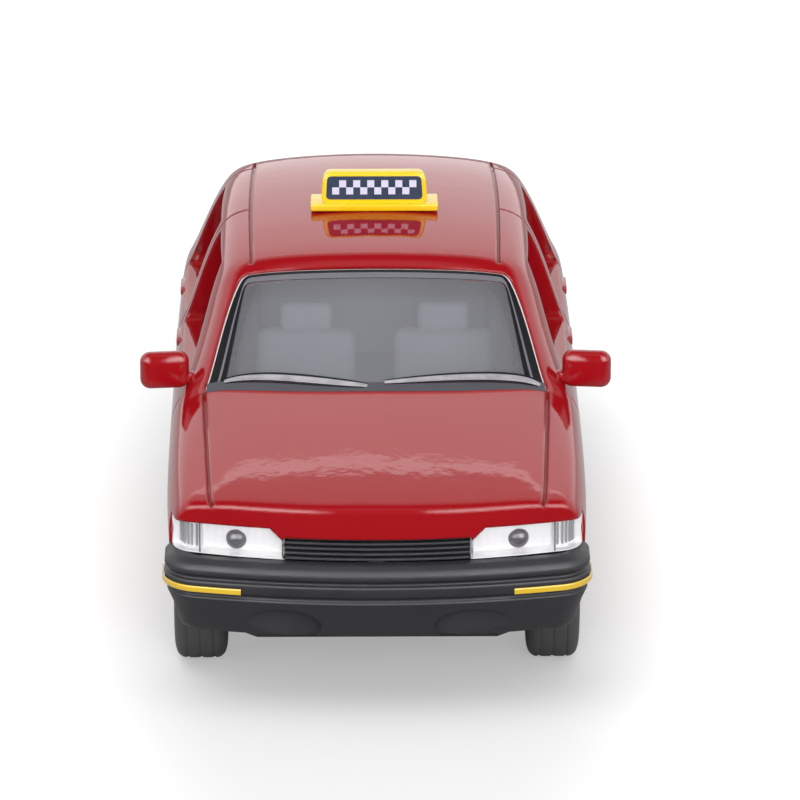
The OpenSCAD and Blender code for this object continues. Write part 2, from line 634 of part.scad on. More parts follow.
// Floor with two front seats and a rear bench
module cushion(x, s, z, size, r) {
    translate(at(x, s, z)) hull() for (i = [-1, 1], j = [-1, 1], k = [-1, 1])
        translate([i * (size[0] / 2 - r), j * (size[1] / 2 - r), k * (size[2] / 2 - r)])
            sphere(r = r, $fn = 10);
}
module seat(x, s, w) {
    cushion(x, s, floor_h + 1.2, [w, 0.3 * cabin_l, 2.8], 0.7);
    back_s = s + 0.145 * cabin_l;
    translate(at(x, back_s, floor_h + 1)) rotate([-14, 0, 0]) translate(-at(x, back_s, floor_h + 1)) {
        cushion(x, back_s, floor_h + 4.6, [w - 0.3, 1.8, 7], 0.7);
        cushion(x, back_s, floor_h + 8.6, [w * 0.5, 1.3, 1.9], 0.55);
    }
}
dash_s = screen_s + 3.6;
bench_s = door_end_s - 4.7;
cabin_l = bench_s - dash_s;
seat_s = dash_s + 0.353 * cabin_l;
floor_t = 0.9;
module seat_tub() {
    tub_w = 2 * (half_w - wall - 2.2);
    color("#8a8b90") union() {
        translate(at(-tub_w / 2, screen_s + 1.4, floor_h - floor_t))
            cube([tub_w, bench_s + 2.7 - screen_s - 1.4, floor_t]);
        for (x = [-1, 1]) seat(x * (seat_w / 2 + 1), seat_s, seat_w);
        cushion(0, bench_s, floor_h + 1.2, [2 * seat_w + 2, 5.4, 2.8], 0.7);
        translate(at(0, bench_s + 2.4, floor_h + 1)) rotate([-16, 0, 0])
            translate(-at(0, bench_s + 2.4, floor_h + 1))
                cushion(0, bench_s + 2.4, floor_h + 4.2, [2 * seat_w + 1.6, 1.7, 6.4], 0.7);
    }
}

module dashboard() {
    dash_w = 2 * (half_w - wall - 2.2);
    color("#55565b") hull() {
        translate(at(0, dash_s, belt_h - 2.6)) cube([dash_w, 2.2, 2.6], center = true);
        translate(at(0, dash_s - 0.8, belt_h - 0.9)) cube([dash_w - 0.6, 2, 1], center = true);
        translate(at(0, dash_s - 0.4, floor_h + 0.6))
            cube([dash_w - 1, 1.4, 1.2 - 2 * seat_gap], center = true);
    }
}
steer_x = seat_w / 2 + 1;
module steering_wheel() {
    color("#2b2b2e") translate(at(steer_x, dash_s + 1.3, belt_h - 1.9)) rotate([-62, 0, 0]) union() {
        translate([0, 0, 1.1]) rotate_extrude($fn = 48)
            translate([steer_r - 0.22, 0]) circle(r = 0.22, $fn = 16);
        for (a = [90, 210, 330]) rotate([0, 0, a])
            translate([0, -0.2, 0.95]) cube([steer_r - 0.25, 0.4, 0.3]);
        cylinder(r = 0.32, h = 1.1, $fn = 24);
        translate([0, 0, 0.9]) cylinder(r = 0.6, h = 0.45, $fn = 24);
    }
}

// Base plate with bearing blocks, wheel wells, screw holes and an exhaust in relief
base_x = half_w - wall - 0.9;
well_x = tyre_x - 0.55;
bearing_h = tyre_r + axle_r + 0.8;
bearing_l = 3.4;
rest_w = 8;
module base_outline() {
    difference() {
        translate([-base_x, base_front - body_l / 2]) square([2 * base_x, body_l - base_front - base_rear]);
        for (side = [1, -1], s = [axle_s, rear_axle_s])
            translate([side * (well_x + 3), s - body_l / 2]) square([6, 2 * arch_r], center = true);
        for (side = [1, -1], s = [base_front, body_l - base_rear])
            translate([side * base_x, s - body_l / 2]) rotate(45) square(5, center = true);
    }
}
// Floor pans sunk into the underside on both sides of a flat spine, with ribs between them
spine_x = 2.2;
pan_d = 0.62;
module floor_pans() {
    pan_n = 3;
    pan_rib = 1;
    start = axle_s + arch_r + pan_rib;
    pitch = (rear_axle_s - arch_r - start) / pan_n;
    for (side = [1, -1], i = [0:pan_n - 1])
        translate(at(side * (spine_x + base_x - 1) / 2, start + (i + 0.5) * pitch - pan_rib / 2, base_h))
            cube([base_x - 1 - spine_x, pitch - pan_rib, 2 * pan_d], center = true);
}
module exhaust() {
    pipe_r = 0.45;
    box_r = 0.95;
    translate(at(-spine_x - 1.6, screen_s, base_h + pipe_r + 0.1)) rotate([-90, 0, 0]) {
        cylinder(r = pipe_r, h = door_end_s - screen_s - 2, $fn = 24);
        translate([0, pipe_r - box_r, door_end_s - screen_s - 12]) cylinder(r = box_r, h = 6, $fn = 32);
    }
}
module chassis_base() {
    color("#2f2f33") difference() {
        union() {
            difference() {
                translate([0, 0, base_h]) linear_extrude(base_t) base_outline();
                floor_pans();
            }
            exhaust();
            for (s = [axle_s, rear_axle_s])
                translate(at(-well_x, s - bearing_l / 2, base_h))
                    cube([2 * well_x, bearing_l, bearing_h - base_h]);
            translate(at(-rest_w / 2, dash_s + 0.2 * cabin_l, base_h + base_t / 2))
                cube([rest_w, 0.8 * cabin_l, floor_h - floor_t - base_h - base_t / 2 - seat_gap]);
        }
        for (s = [axle_s, rear_axle_s]) translate(at(0, s, tyre_r)) rotate([0, 90, 0])
            cylinder(r = axle_r + axle_play, h = body_w, center = true, $fn = 48);
        for (s = [front_post_s, rear_post_s]) translate(at(0, s, base_h - 1)) {
            cylinder(r = screw_r + 0.1, h = 8, $fn = 32);
            cylinder(r = 2 * screw_r + 0.1, h = 1.7, $fn = 32);
        }
    }
}
module base_screws() {
    color("silver") for (s = [front_post_s, rear_post_s]) translate(at(0, s, base_h)) difference() {
        union() {
            translate([0, 0, 0.1]) cylinder(r = 2 * screw_r, h = 0.6, $fn = 32);
            cylinder(r = screw_r, h = base_t + 3.6, $fn = 32);
        }
        for (a = [0, 90]) rotate(a) translate([-0.7, -0.12, -0.5]) cube([1.4, 0.24, 0.8]);
    }
}

// Wheelsets: a steel axle, pressed rims with round holes and grooved tyres
axle_end = track_half - 1;
module axle(s) {
    color("silver") translate(at(0, s, tyre_r)) rotate([0, 90, 0])
        cylinder(r = axle_r, h = 2 * axle_end, center = true, $fn = 48);
}
module wheel(s, left) {
    hub_r = 1.1;
    color("silver") on_left(left) translate(at(tyre_x, s, tyre_r)) rotate([90, 0, 90]) difference() {
        rotate_extrude($fn = 64) polygon([
            [axle_r + 0.02, 0.6], [hub_r, 0.6], [hub_r + 0.2, 1.5], [rim_r - 0.35, 1.3], [rim_r - 0.35, 0.15],
            [rim_r, 0.15], [rim_r, tyre_w - 0.15], [rim_r - 0.3, tyre_w - 0.15], [rim_r - 0.5, 2],
            [hub_r + 0.25, 2.35], [hub_r, tyre_w - 0.4], [axle_r + 0.02, tyre_w - 0.4]]);
        for (a = [0:36:324]) rotate(a)
            translate([(hub_r + rim_r) / 2 + 0.05, 0, 0.8]) cylinder(r = 0.26, h = 3, $fn = 20);
    }
}
module tyre(s, left) {
    wall_in = 0.35;
    groove = 0.1;
    color("#1d1d1f") on_left(left) translate(at(tyre_x, s, tyre_r)) rotate([90, 0, 90])
        rotate_extrude($fn = 72) polygon(concat(
            [[rim_r + 0.01, 0.15], [rim_r + 0.5, 0], [tyre_r - 0.55, 0.05], [tyre_r - 0.12, wall_in]],
            [for (k = [1:3]) let (z = tyre_w * k / 4)
                each [[tyre_r, z - (k == 1 ? 0.36 : 0.45)], [tyre_r, z - 0.12],
                      [tyre_r - groove, z - 0.08], [tyre_r - groove, z + 0.08], [tyre_r, z + 0.12]]],
            [[tyre_r, tyre_w - wall_in - 0.15], [tyre_r - 0.12, tyre_w - wall_in],
             [tyre_r - 0.55, tyre_w - 0.05], [rim_r + 0.5, tyre_w], [rim_r + 0.01, tyre_w - 0.15]]));
}

body_shell();
windscreen();
rear_window();
side_glass(true);  // side_glass_left
side_glass(false);  // side_glass_right
wipers();
grille();
front_bumper();
rear_bumper();
headlight_lens(true);  // headlight_lens_left
headlight_lens(false);  // headlight_lens_right
headlight_reflector(true);  // headlight_reflector_left
headlight_reflector(false);  // headlight_reflector_right
indicator(true);  // indicator_left
indicator(false);  // indicator_right
tail_light(true);  // tail_light_left
tail_light(false);  // tail_light_right
door_mirror(true);  // mirror_left
door_mirror(false);  // mirror_right
sign_housing();
color("#3f5068") sign_panel(1, 0);  // sign_panel_front
color("#3f5068") sign_panel(-1, 0);  // sign_panel_rear
seat_tub();
dashboard();
steering_wheel();
chassis_base();
base_screws();
axle(axle_s);  // front_axle
axle(rear_axle_s);  // rear_axle
wheel(axle_s, true);  // wheel_front_left
wheel(axle_s, false);  // wheel_front_right
wheel(rear_axle_s, true);  // wheel_rear_left
wheel(rear_axle_s, false);  // wheel_rear_right
tyre(axle_s, true);  // tyre_front_left
tyre(axle_s, false);  // tyre_front_right
tyre(rear_axle_s, true);  // tyre_rear_left
tyre(rear_axle_s, false);  // tyre_rear_right
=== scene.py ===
"""Dresses the toy taxi: painted casting, glass, trim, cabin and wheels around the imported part.

Sizes are millimetres in the part's frame until a mesh is made: the front of the car points to -Y, the ground
is z = 0, +X is the car's left side, and stations (s) are measured back from the tip of the front bumper.
"""

import logging
import math
from dataclasses import dataclass, field
from enum import Enum
from typing import Any, Sequence

import bpy
import numpy as np
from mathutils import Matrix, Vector


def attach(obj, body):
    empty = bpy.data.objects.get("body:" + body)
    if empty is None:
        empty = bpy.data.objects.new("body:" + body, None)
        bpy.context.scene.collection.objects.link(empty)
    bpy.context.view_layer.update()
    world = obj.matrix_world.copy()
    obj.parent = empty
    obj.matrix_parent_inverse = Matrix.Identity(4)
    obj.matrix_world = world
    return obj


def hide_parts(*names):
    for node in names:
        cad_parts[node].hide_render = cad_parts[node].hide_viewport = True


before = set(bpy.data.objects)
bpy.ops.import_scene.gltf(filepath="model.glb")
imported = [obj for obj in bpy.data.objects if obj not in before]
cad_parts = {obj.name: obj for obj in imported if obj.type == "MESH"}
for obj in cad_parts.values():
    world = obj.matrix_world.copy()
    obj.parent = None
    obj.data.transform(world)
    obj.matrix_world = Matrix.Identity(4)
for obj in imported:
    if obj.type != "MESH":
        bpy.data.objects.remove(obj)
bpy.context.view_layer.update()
LOG = logging.getLogger("taxi")
MM = 0.001
LENGTH = 56.6
Obj = bpy.types.Object
Tree = bpy.types.NodeTree
Socket = bpy.types.NodeSocket
Path = list[tuple[np.ndarray, np.ndarray]]


class Body(Enum):
    """The moving bodies of the part."""

    CAR = "car"
    FRONT = "front_wheelset"
    REAR = "rear_wheelset"


class Side(Enum):
    """The two sides of the car, by the sign of x."""

    LEFT = 1
    RIGHT = -1

    @property
    def label(self) -> str:
        """The side's word in node names."""
        return self.name.lower()


def linear(code: str) -> tuple[float, float, float, float]:
    """Turns an sRGB hex colour into linear light.

    Args:
        code: The colour as #rrggbb.

    Returns:
        Red, green, blue and an alpha of 1.
    """
    parts = [int(code[i:i + 2], 16) / 255 for i in (1, 3, 5)]
    r, g, b = [c / 12.92 if c <= 0.04045 else ((c + 0.055) / 1.055) ** 2.4 for c in parts]
    return r, g, b, 1.0


def add_node(tree: Tree, kind: str, settings: dict[str, Any] | None = None,
             inputs: dict[Any, Any] | None = None) -> bpy.types.Node:
    """Adds a node with its settings, and sets or links its inputs.

    Args:
        tree: The node tree.
        kind: The node's type without the ShaderNode prefix.
        settings: Attributes of the node.
        inputs: Values or output sockets by input name or index.

    Returns:
        The node.
    """
    node = tree.nodes.new("ShaderNode" + kind)
    for key, value in (settings or {}).items():
        setattr(node, key, value)
    for key, value in (inputs or {}).items():
        if isinstance(value, bpy.types.NodeSocket):
            tree.links.new(value, node.inputs[key])
        else:
            node.inputs[key].default_value = value
    return node


def calc(tree: Tree, operation: str, *values: Any) -> Socket:
    """The result of a Math node over numbers or sockets."""
    return add_node(tree, "Math", {"operation": operation}, dict(enumerate(values))).outputs[0]


def blend(tree: Tree, share: Socket, first: Any, second: Any) -> Socket:
    """The result of a Mix node over two numbers or sockets."""
    return add_node(tree, "Mix", {"data_type": "FLOAT"}, {"Factor": share, 2: first, 3: second}).outputs[0]


def blend_colour(tree: Tree, share: Socket, first: Any, second: Any) -> Socket:
    """The result of a Mix node over two colours or sockets."""
    return add_node(tree, "Mix", {"data_type": "RGBA"}, {"Factor": share, 6: first, 7: second}).outputs[2]


def noise(tree: Tree, spot: Socket, size_mm: float, detail: float) -> Socket:
    """Soft noise over the object coordinates, with lumps of a size."""
    inputs = {"Vector": spot, "Scale": 1 / (size_mm * MM), "Detail": detail}
    return add_node(tree, "TexNoise", None, inputs).outputs["Fac"]


def spread(tree: Tree, value: Socket, span: tuple[float, float], to: tuple[float, float] = (0.0, 1.0),
           kind: str = "SMOOTHSTEP") -> Socket:
    """Maps a span of values onto another one and holds it at both ends.

    Args:
        tree: The node tree.
        value: The value.
        span: The ends of the span.
        to: What they become.
        kind: How it runs between them.

    Returns:
        The mapped value.
    """
    node = add_node(tree, "MapRange", {"interpolation_type": kind}, {
        "Value": value, "From Min": span[0], "From Max": span[1], "To Min": to[0], "To Max": to[1]})
    return node.outputs["Result"]


@dataclass(frozen=True)
class Finish:
    """A surface: its substance, two tones of its colour, its gloss and its grain."""

    name: str
    tone: str
    second_tone: str
    roughness: float
    metallic: float = 0.0
    ior: float = 1.5
    coat: float = 0.0
    coat_roughness: float = 0.03
    specular: float = 0.5
    clear: bool = False
    haze: float = 0.0
    grain_mm: float = 0.25
    grain: float = 0.05
    ripple_mm: float = 0.0
    blotch_mm: float = 5.0
    edge_mm: float = 0.0
    mirrored: float = 0.9
    milk: str = "#e6e6ec"

    def colour(self, tree: Tree, spot: Socket) -> Socket:
        """The two tones, mixed in soft blotches over the object coordinates."""
        blotch = noise(tree, spot, self.blotch_mm, 3.0)
        return blend_colour(tree, blotch, linear(self.tone), linear(self.second_tone))

    def height(self, tree: Tree, spot: Socket) -> Socket:
        """Draws the fine grain of the surface, over a broad ripple where it has one.

        Args:
            tree: The material's tree.
            spot: The object coordinates.

        Returns:
            The height socket.
        """
        grain = noise(tree, spot, self.grain_mm, 2.0)
        if not self.ripple_mm:
            return grain
        ripple = noise(tree, spot, self.ripple_mm, 1.0)
        return calc(tree, "MULTIPLY_ADD", ripple, self.ripple_mm / self.grain_mm, grain)

    def glazing(self, tree: Tree, spot: Socket) -> Socket:
        """A thin clear skin: tinted light goes straight through, more of it is mirrored at a flat angle.

        Args:
            tree: The material's tree.
            spot: The object coordinates.

        Returns:
            The shader socket.
        """
        flat = add_node(tree, "LayerWeight", None, {"Blend": 0.5}).outputs["Facing"]
        least = ((self.ior - 1) / (self.ior + 1)) ** 2
        share = spread(tree, calc(tree, "POWER", flat, 5.0), (0.0, 1.0), (least, self.mirrored), "LINEAR")
        through = add_node(tree, "BsdfTransparent", None, {"Color": self.colour(tree, spot)})
        shine = add_node(tree, "BsdfPrincipled", None, {
            "Base Color": (1, 1, 1, 1), "Metallic": 1.0, "Roughness": self.roughness})
        mixed = add_node(tree, "MixShader", None, {0: share, 1: through.outputs[0], 2: shine.outputs["BSDF"]})
        milk = add_node(tree, "BsdfDiffuse", None, {"Color": linear(self.milk)})
        cloudy = add_node(tree, "MixShader", None, {0: self.haze, 1: mixed.outputs[0], 2: milk.outputs[0]})
        return cloudy.outputs[0]

    def material(self) -> bpy.types.Material:
        """Builds the material once.

        Returns:
            The material.
        """
        found = bpy.data.materials.get(self.name)
        if found:
            return found
        made = bpy.data.materials.new(self.name)
        made.use_nodes = True
        tree = made.node_tree
        tree.nodes.clear()
        spot = add_node(tree, "TexCoord").outputs["Object"]
        surface = self.glazing(tree, spot) if self.clear else self.solid(tree, spot)
        add_node(tree, "OutputMaterial", None, {"Surface": surface})
        return made

    def solid(self, tree: Tree, spot: Socket) -> Socket:
        """A solid surface with its gloss, grain and rounded edges.

        Args:
            tree: The material's tree.
            spot: The object coordinates.

        Returns:
            The shader socket.
        """
        wear = noise(tree, spot, self.blotch_mm / 2.3, 4.0)
        rough = (self.roughness * 0.85, min(1.0, self.roughness * 1.15))
        gloss = spread(tree, wear, (0.3, 0.7), rough, "LINEAR")
        bump_in: dict[Any, Any] = {"Strength": self.grain, "Distance": self.grain_mm * MM * 0.3,
                                   "Height": self.height(tree, spot)}
        if self.edge_mm:
            rounded = add_node(tree, "Bevel", {"samples": 4}, {"Radius": self.edge_mm * MM})
            bump_in["Normal"] = rounded.outputs["Normal"]
        normal = add_node(tree, "Bump", None, bump_in).outputs["Normal"]
        shader = add_node(tree, "BsdfPrincipled", None, {
            "Base Color": self.colour(tree, spot), "Roughness": gloss, "Metallic": self.metallic,
            "IOR": self.ior, "Specular IOR Level": self.specular, "Coat Weight": self.coat,
            "Coat Roughness": self.coat_roughness, "Normal": normal, "Coat Normal": normal})
        return shader.outputs["BSDF"]


@dataclass(frozen=True)
class ChequerPrint(Finish):
    """A printed inlay with a band of two rows of pale squares."""

    pale: str = "#cfd3ea"
    square_mm: float = 0.44
    middle_mm: float = 23.03
    columns: int = 12

    def colour(self, tree: Tree, spot: Socket) -> Socket:
        """Lays the chequer band over the inlay's own colour.

        Args:
            tree: The material's tree.
            spot: The object coordinates.

        Returns:
            The colour socket.
        """
        ground = super().colour(tree, spot)
        square = self.square_mm * MM
        moved = add_node(tree, "Mapping", None, {"Vector": spot, "Location": (0, 0, -self.middle_mm * MM)})
        split = add_node(tree, "SeparateXYZ", None, {"Vector": moved.outputs["Vector"]}).outputs
        flat = add_node(tree, "CombineXYZ", None, {"X": split["X"], "Y": split["Z"]})
        squares = add_node(tree, "TexChecker", None, {"Vector": flat.outputs["Vector"], "Scale": 1 / square})
        shown = squares.outputs["Fac"]
        for axis, reach in (("Z", square), ("X", self.columns / 2 * square)):
            within = calc(tree, "LESS_THAN", calc(tree, "ABSOLUTE", split[axis]), reach)
            shown = calc(tree, "MULTIPLY", shown, within)
        return blend_colour(tree, shown, ground, linear(self.pale))


# Gloss enamel sprayed on cast zinc: a clear hard shine over deep red, with a faint orange-peel ripple
ENAMEL = Finish("red_enamel_on_zinc", "#9f1119", "#990e17", 0.32, specular=0.0, coat=1.0,
                coat_roughness=0.02, grain_mm=0.9, grain=0.02, ripple_mm=5.0, blotch_mm=7.0, edge_mm=0.28)
# Clear polystyrene moulding with a light smoke tint: sharp reflections, slightly grey when seen through
CLEAR_TINT = Finish("clear_polystyrene_smoke", "#eef0f3", "#ebeef1", 0.03, ior=1.5, clear=True, haze=0.115)
# Smoked polystyrene of the side panes, dark enough to hide the far side
DARK_TINT = Finish("smoked_polystyrene", "#8d9096", "#888b92", 0.03, ior=1.5, clear=True)
# Clear polystyrene lamp moulding: water clear, with ribs in its mesh
LAMP_CLEAR = Finish("clear_polystyrene_lamp", "#ffffff", "#fefefe", 0.04, ior=1.45, clear=True)
# Silver paint in the lamps: bright, pale and only half a mirror
SILVERED = Finish("silver_lamp_paint", "#fdfdfe", "#f8f8fa", 0.4, grain_mm=0.3, grain=0.05)
# Mirror foil on the backs of the door mirrors
MIRROR = Finish("mirror_foil", "#e6e8ea", "#dcdfe2", 0.06, metallic=1.0, grain=0.0)
# Painted shade: grey bars behind the lens that stand in for the darker look of the moulded flutes in the
# indicator part of the lamps
LAMP_FLUTE_SHADE = Finish("painted_shade_lamp_flute", "#a9a8ae", "#9f9ea5", 0.4, grain=0.03)
# Smoked mirror of the bulb caps
LAMP_BULB = Finish("smoked_bulb_cap", "#7f7d83", "#737178", 0.42, metallic=0.7, grain=0.02)
# Painted highlight: a pale opaque band that stands in for light caught in the cut edge of the windscreen
PANE_EDGE_HIGHLIGHT = Finish("polished_pane_edge", "#dddbda", "#d2d0d0", 0.2, grain=0.02)
# Grey moulding of the strip between the hood and the windscreen
COWL_GREY = Finish("grey_cowl_plastic", "#4a4950", "#434248", 0.5, grain_mm=0.16, grain=0.1)
# Painted light: a paler grey band inside the border that stands in for light seen in the thick edge of the
# pane where it rests on the casting
LEDGE_LIGHT_GREY = Finish("painted_light_pane_ledge", "#6a6970", "#626168", 0.5, grain=0.05)
# Black ABS from a spark-eroded mould: a satin skin with a fine even grain
BLACK_ABS = Finish("satin_black_abs", "#262629", "#212124", 0.48, grain_mm=0.16, grain=0.16, edge_mm=0.06)
# Gloss black print and trim round the glass; the windscreen's thin shade band also uses it as painted shade
BLACK_TRIM = Finish("black_printed_trim", "#17171a", "#1c1c1f", 0.25, grain_mm=0.4, grain=0.03)
# Amber gloss lacquer in the groove of the bumper
AMBER = Finish("amber_lacquer", "#e0bb33", "#d6ad28", 0.22, coat=0.6, grain_mm=0.5, grain=0.05)
# Red see-through acrylic of the tail lights, backed in silver
TAIL_RED = Finish("red_acrylic_lamp", "#a30d12", "#8d0a10", 0.12, coat=1.0, grain_mm=0.5, grain=0.04)
# White acrylic of the reversing lights
TAIL_WHITE = Finish("white_acrylic_lamp", "#dcdedf", "#cfd2d4", 0.14, coat=1.0, grain_mm=0.5, grain=0.04)
# Gloss yellow ABS of the roof sign
SIGN_YELLOW = Finish("gloss_yellow_abs", "#f3d312", "#ecc90e", 0.26, coat=0.5, grain_mm=0.6, grain=0.04,
                     edge_mm=0.08)
# Navy pad print on the sign, with a generic chequer band
SIGN_NAVY = ChequerPrint("navy_pad_print", "#2c3a52", "#26334a", 0.3, grain_mm=0.5, grain=0.03)
# Matt grey moulding of the cabin, with a fabric-like spark grain on the seats
SEAT_GREY = Finish("matt_grey_polystyrene", "#b9babf", "#b0b1b6", 0.62, grain_mm=0.22, grain=0.25,
                   edge_mm=0.08)
# Dark grey moulding of the dashboard and wheel
DASH_GREY = Finish("dark_grey_polystyrene", "#4a4b50", "#434448", 0.55, grain_mm=0.2, grain=0.2,
                   edge_mm=0.08)
# Bright thin etched metal of the wipers
WIPER_SILVER = Finish("etched_nickel_silver", "#d2d2d6", "#7f7f85", 0.34, metallic=0.4, blotch_mm=0.7,
                      grain_mm=0.2, grain=0.05)
# Drawn steel wire and screws
STEEL = Finish("drawn_steel", "#a9abae", "#97999c", 0.3, metallic=1.0, grain_mm=0.12, grain=0.1)
# Silver paint on the moulded rims, with a fine metallic flake
RIM_SILVER = Finish("silver_painted_rim", "#b9bbbe", "#a7a9ac", 0.36, metallic=0.85, grain_mm=0.12,
                    grain=0.12, edge_mm=0.05)
# Soft black rubber, matt and slightly grey on its edges
RUBBER = Finish("moulded_rubber", "#3c3c3d", "#434344", 0.7, grain_mm=0.2, grain=0.15, edge_mm=0.06)


def alone(obj: Obj | None = None) -> None:
    """Leaves edit mode and selects only this object, or nothing.

    Args:
        obj: The object to select and make active.
    """
    if bpy.context.object and bpy.context.object.mode != "OBJECT":
        bpy.ops.object.mode_set(mode="OBJECT")
    bpy.ops.object.select_all(action="DESELECT")
    if obj:
        obj.select_set(True)
        bpy.context.view_layer.objects.active = obj


def modify(obj: Obj, kind: str, **settings: Any) -> Obj:
    """Adds a modifier and applies it.

    Args:
        obj: The object.
        kind: The modifier's type.
        settings: The modifier's values.

    Returns:
        The object.
    """
    alone(obj)
    made = obj.modifiers.new(kind.lower(), kind)
    for key, value in settings.items():
        setattr(made, key, value)
    bpy.ops.object.modifier_apply(modifier=made.name)
    return obj


def place(obj: Obj) -> Obj:
    """Moves an object's place and size into its mesh.

    Args:
        obj: The object.

    Returns:
        The object.
    """
    alone(obj)
    bpy.ops.object.transform_apply(location=True, rotation=True, scale=True)
    return obj


def at(x: float, s: float, z: float) -> np.ndarray:
    """A point at a station along the car, in millimetres."""
    return np.array([x, s - LENGTH / 2, z])


def loft(name: str, rings: np.ndarray, closed: bool = True, caps: bool = True) -> Obj:
    """Lays a grid over rings of points.

    Args:
        name: The object's name.
        rings: Points in millimetres, as rings by points by 3.
        closed: Whether each ring comes back to its start.
        caps: Whether the open ends are filled and the faces turned outwards.

    Returns:
        The object.
    """
    if closed:
        rings = np.concatenate([rings, rings[:, :1]], axis=1)
    rows, cols = rings.shape[:2]
    alone()
    bpy.ops.mesh.primitive_grid_add(x_subdivisions=cols - 1, y_subdivisions=rows - 1, size=1)
    obj = bpy.context.object
    obj.name = name
    obj.data.vertices.foreach_set("co", (np.ascontiguousarray(rings) * MM).ravel())
    bpy.ops.object.mode_set(mode="EDIT")
    bpy.ops.mesh.select_all(action="SELECT")
    bpy.ops.mesh.remove_doubles(threshold=2e-7)
    if caps:
        bpy.ops.mesh.fill_holes(sides=0)
        bpy.ops.mesh.select_all(action="SELECT")
        bpy.ops.mesh.normals_make_consistent(inside=False)
    bpy.ops.object.mode_set(mode="OBJECT")
    return obj


def slab(name: str, top: np.ndarray, bottom: np.ndarray) -> Obj:
    """Closes two grids of points into one solid."""
    return loft(name, np.concatenate([top, bottom[:, ::-1]], axis=1))


def raised(p: np.ndarray, n: np.ndarray, section: Sequence[Sequence[float]]) -> list[np.ndarray]:
    """A section of [out, height] stood up at a plan point with its outward direction."""
    return [at(p[0] + q[0] * n[0], p[1] + q[0] * n[1], q[1]) for q in section]


def sweep(name: str, path: Path, section: Sequence[Sequence[float]]) -> Obj:
    """Carries a section of [out, height] along a plan path of [point, outward].

    Args:
        name: The object's name.
        path: Plan points (x, s) with their outward directions.
        section: The closed section.

    Returns:
        The solid.
    """
    return loft(name, np.array([raised(p, n, section) for p, n in path]))


def revolve(name: str, profile: Sequence[Sequence[float]], centre: np.ndarray, steps: int,
            axis: int = 0) -> Obj:
    """Turns a closed profile of [radius, across] about an axis of the frame.

    Args:
        name: The object's name.
        profile: The profile's points.
        centre: The axis point where across is zero.
        steps: How many steps the turn has.
        axis: 0 for an axis along X, 1 for one along Y.

    Returns:
        The solid.
    """
    radius, across = np.array(profile, float).T
    rings = []
    for a in np.linspace(0, 2 * math.pi, steps + 1):
        ring = np.column_stack([radius * math.cos(a), radius * math.sin(a)])
        rings.append(centre + np.insert(ring, axis, across, axis=1))
    return loft(name, np.array(rings))


def tube(name: str, points: np.ndarray, radii: Sequence[float], steps: int = 16) -> Obj:
    """Carries a circle along points.

    Args:
        name: The object's name.
        points: The middle line.
        radii: The radius at each point.
        steps: How many points the circle has.

    Returns:
        The solid.
    """
    points = np.asarray(points, float)
    along = np.gradient(points, axis=0)
    along /= np.linalg.norm(along, axis=1)[:, None]
    rings = []
    for p, t, r in zip(points, along, radii):
        side = np.cross(t, [0, 0, 1] if abs(t[2]) < 0.9 else [1, 0, 0])
        side /= np.linalg.norm(side)
        up = np.cross(side, t)
        rings.append([p + r * (math.cos(a) * side + math.sin(a) * up)
                      for a in np.linspace(0, 2 * math.pi, steps, endpoint=False)])
    return loft(name, np.array(rings))


def block(name: str, size: Sequence[float], centre: np.ndarray, round_mm: float, steps: int = 4,
          turn: Sequence[float] = (0, 0, 0)) -> Obj:
    """A cube at its size and place with rounded edges.

    Args:
        name: The object's name.
        size: Width, depth and height.
        centre: The middle.
        round_mm: The radius of its edges.
        steps: Segments of the rounding.
        turn: Turn about X, Y and Z in degrees.

    Returns:
        The solid.
    """
    alone()
    bpy.ops.mesh.primitive_cube_add(size=MM, location=[c * MM for c in centre],
                                    rotation=[math.radians(a) for a in turn])
    obj = bpy.context.object
    obj.name = name
    obj.scale = size
    place(obj)
    return modify(obj, "BEVEL", width=round_mm * MM, segments=steps, limit_method="NONE") if round_mm else obj


def drum(name: str, radius: float, depth: float, centre: np.ndarray, turn: Sequence[float] = (0, 0, 0),
         vertices: int = 96) -> Obj:
    """A cylinder at its place.

    Args:
        name: The object's name.
        radius: Its radius.
        depth: Its length.
        centre: Its middle.
        turn: Turn about X, Y and Z in degrees.
        vertices: How many points its circle has.

    Returns:
        The solid.
    """
    alone()
    bpy.ops.mesh.primitive_cylinder_add(vertices=vertices, radius=radius * MM, depth=depth * MM,
                                        location=[c * MM for c in centre],
                                        rotation=[math.radians(a) for a in turn])
    bpy.context.object.name = name
    return place(bpy.context.object)


def cut(obj: Obj, cutter: Obj) -> Obj:
    """Cuts a solid out of another and removes the cutter.

    Args:
        obj: The solid that stays.
        cutter: The solid that goes.

    Returns:
        The solid that stays.
    """
    before = len(obj.data.polygons)
    modify(obj, "BOOLEAN", operation="DIFFERENCE", object=cutter, solver="MANIFOLD")
    if len(obj.data.polygons) == before:
        LOG.warning("no cut: %s", cutter.name)
    bpy.data.objects.remove(cutter)
    return obj


def joined(name: str, parts: Sequence[Obj]) -> Obj:
    """Joins objects into one.

    Args:
        name: The name of the whole.
        parts: The objects.

    Returns:
        The whole.
    """
    alone(parts[0])
    for part in parts:
        part.select_set(True)
    bpy.ops.object.join()
    parts[0].name = name
    return parts[0]


def bisected(obj: Obj, point: np.ndarray, normal: Sequence[float]) -> Obj:
    """Cuts off what lies on the far side of a plane and closes the cut.

    Args:
        obj: The solid.
        point: A point of the plane.
        normal: The direction that is cut off.

    Returns:
        The solid.
    """
    alone(obj)
    bpy.ops.object.mode_set(mode="EDIT")
    bpy.ops.mesh.select_all(action="SELECT")
    bpy.ops.mesh.bisect(plane_co=[c * MM for c in point], plane_no=normal, use_fill=True, clear_outer=True)
    bpy.ops.object.mode_set(mode="OBJECT")
    return obj


def paint(obj: Obj, finish: Finish) -> None:
    """Gives a mesh one finish."""
    obj.data.materials.clear()
    obj.data.materials.append(finish.material())


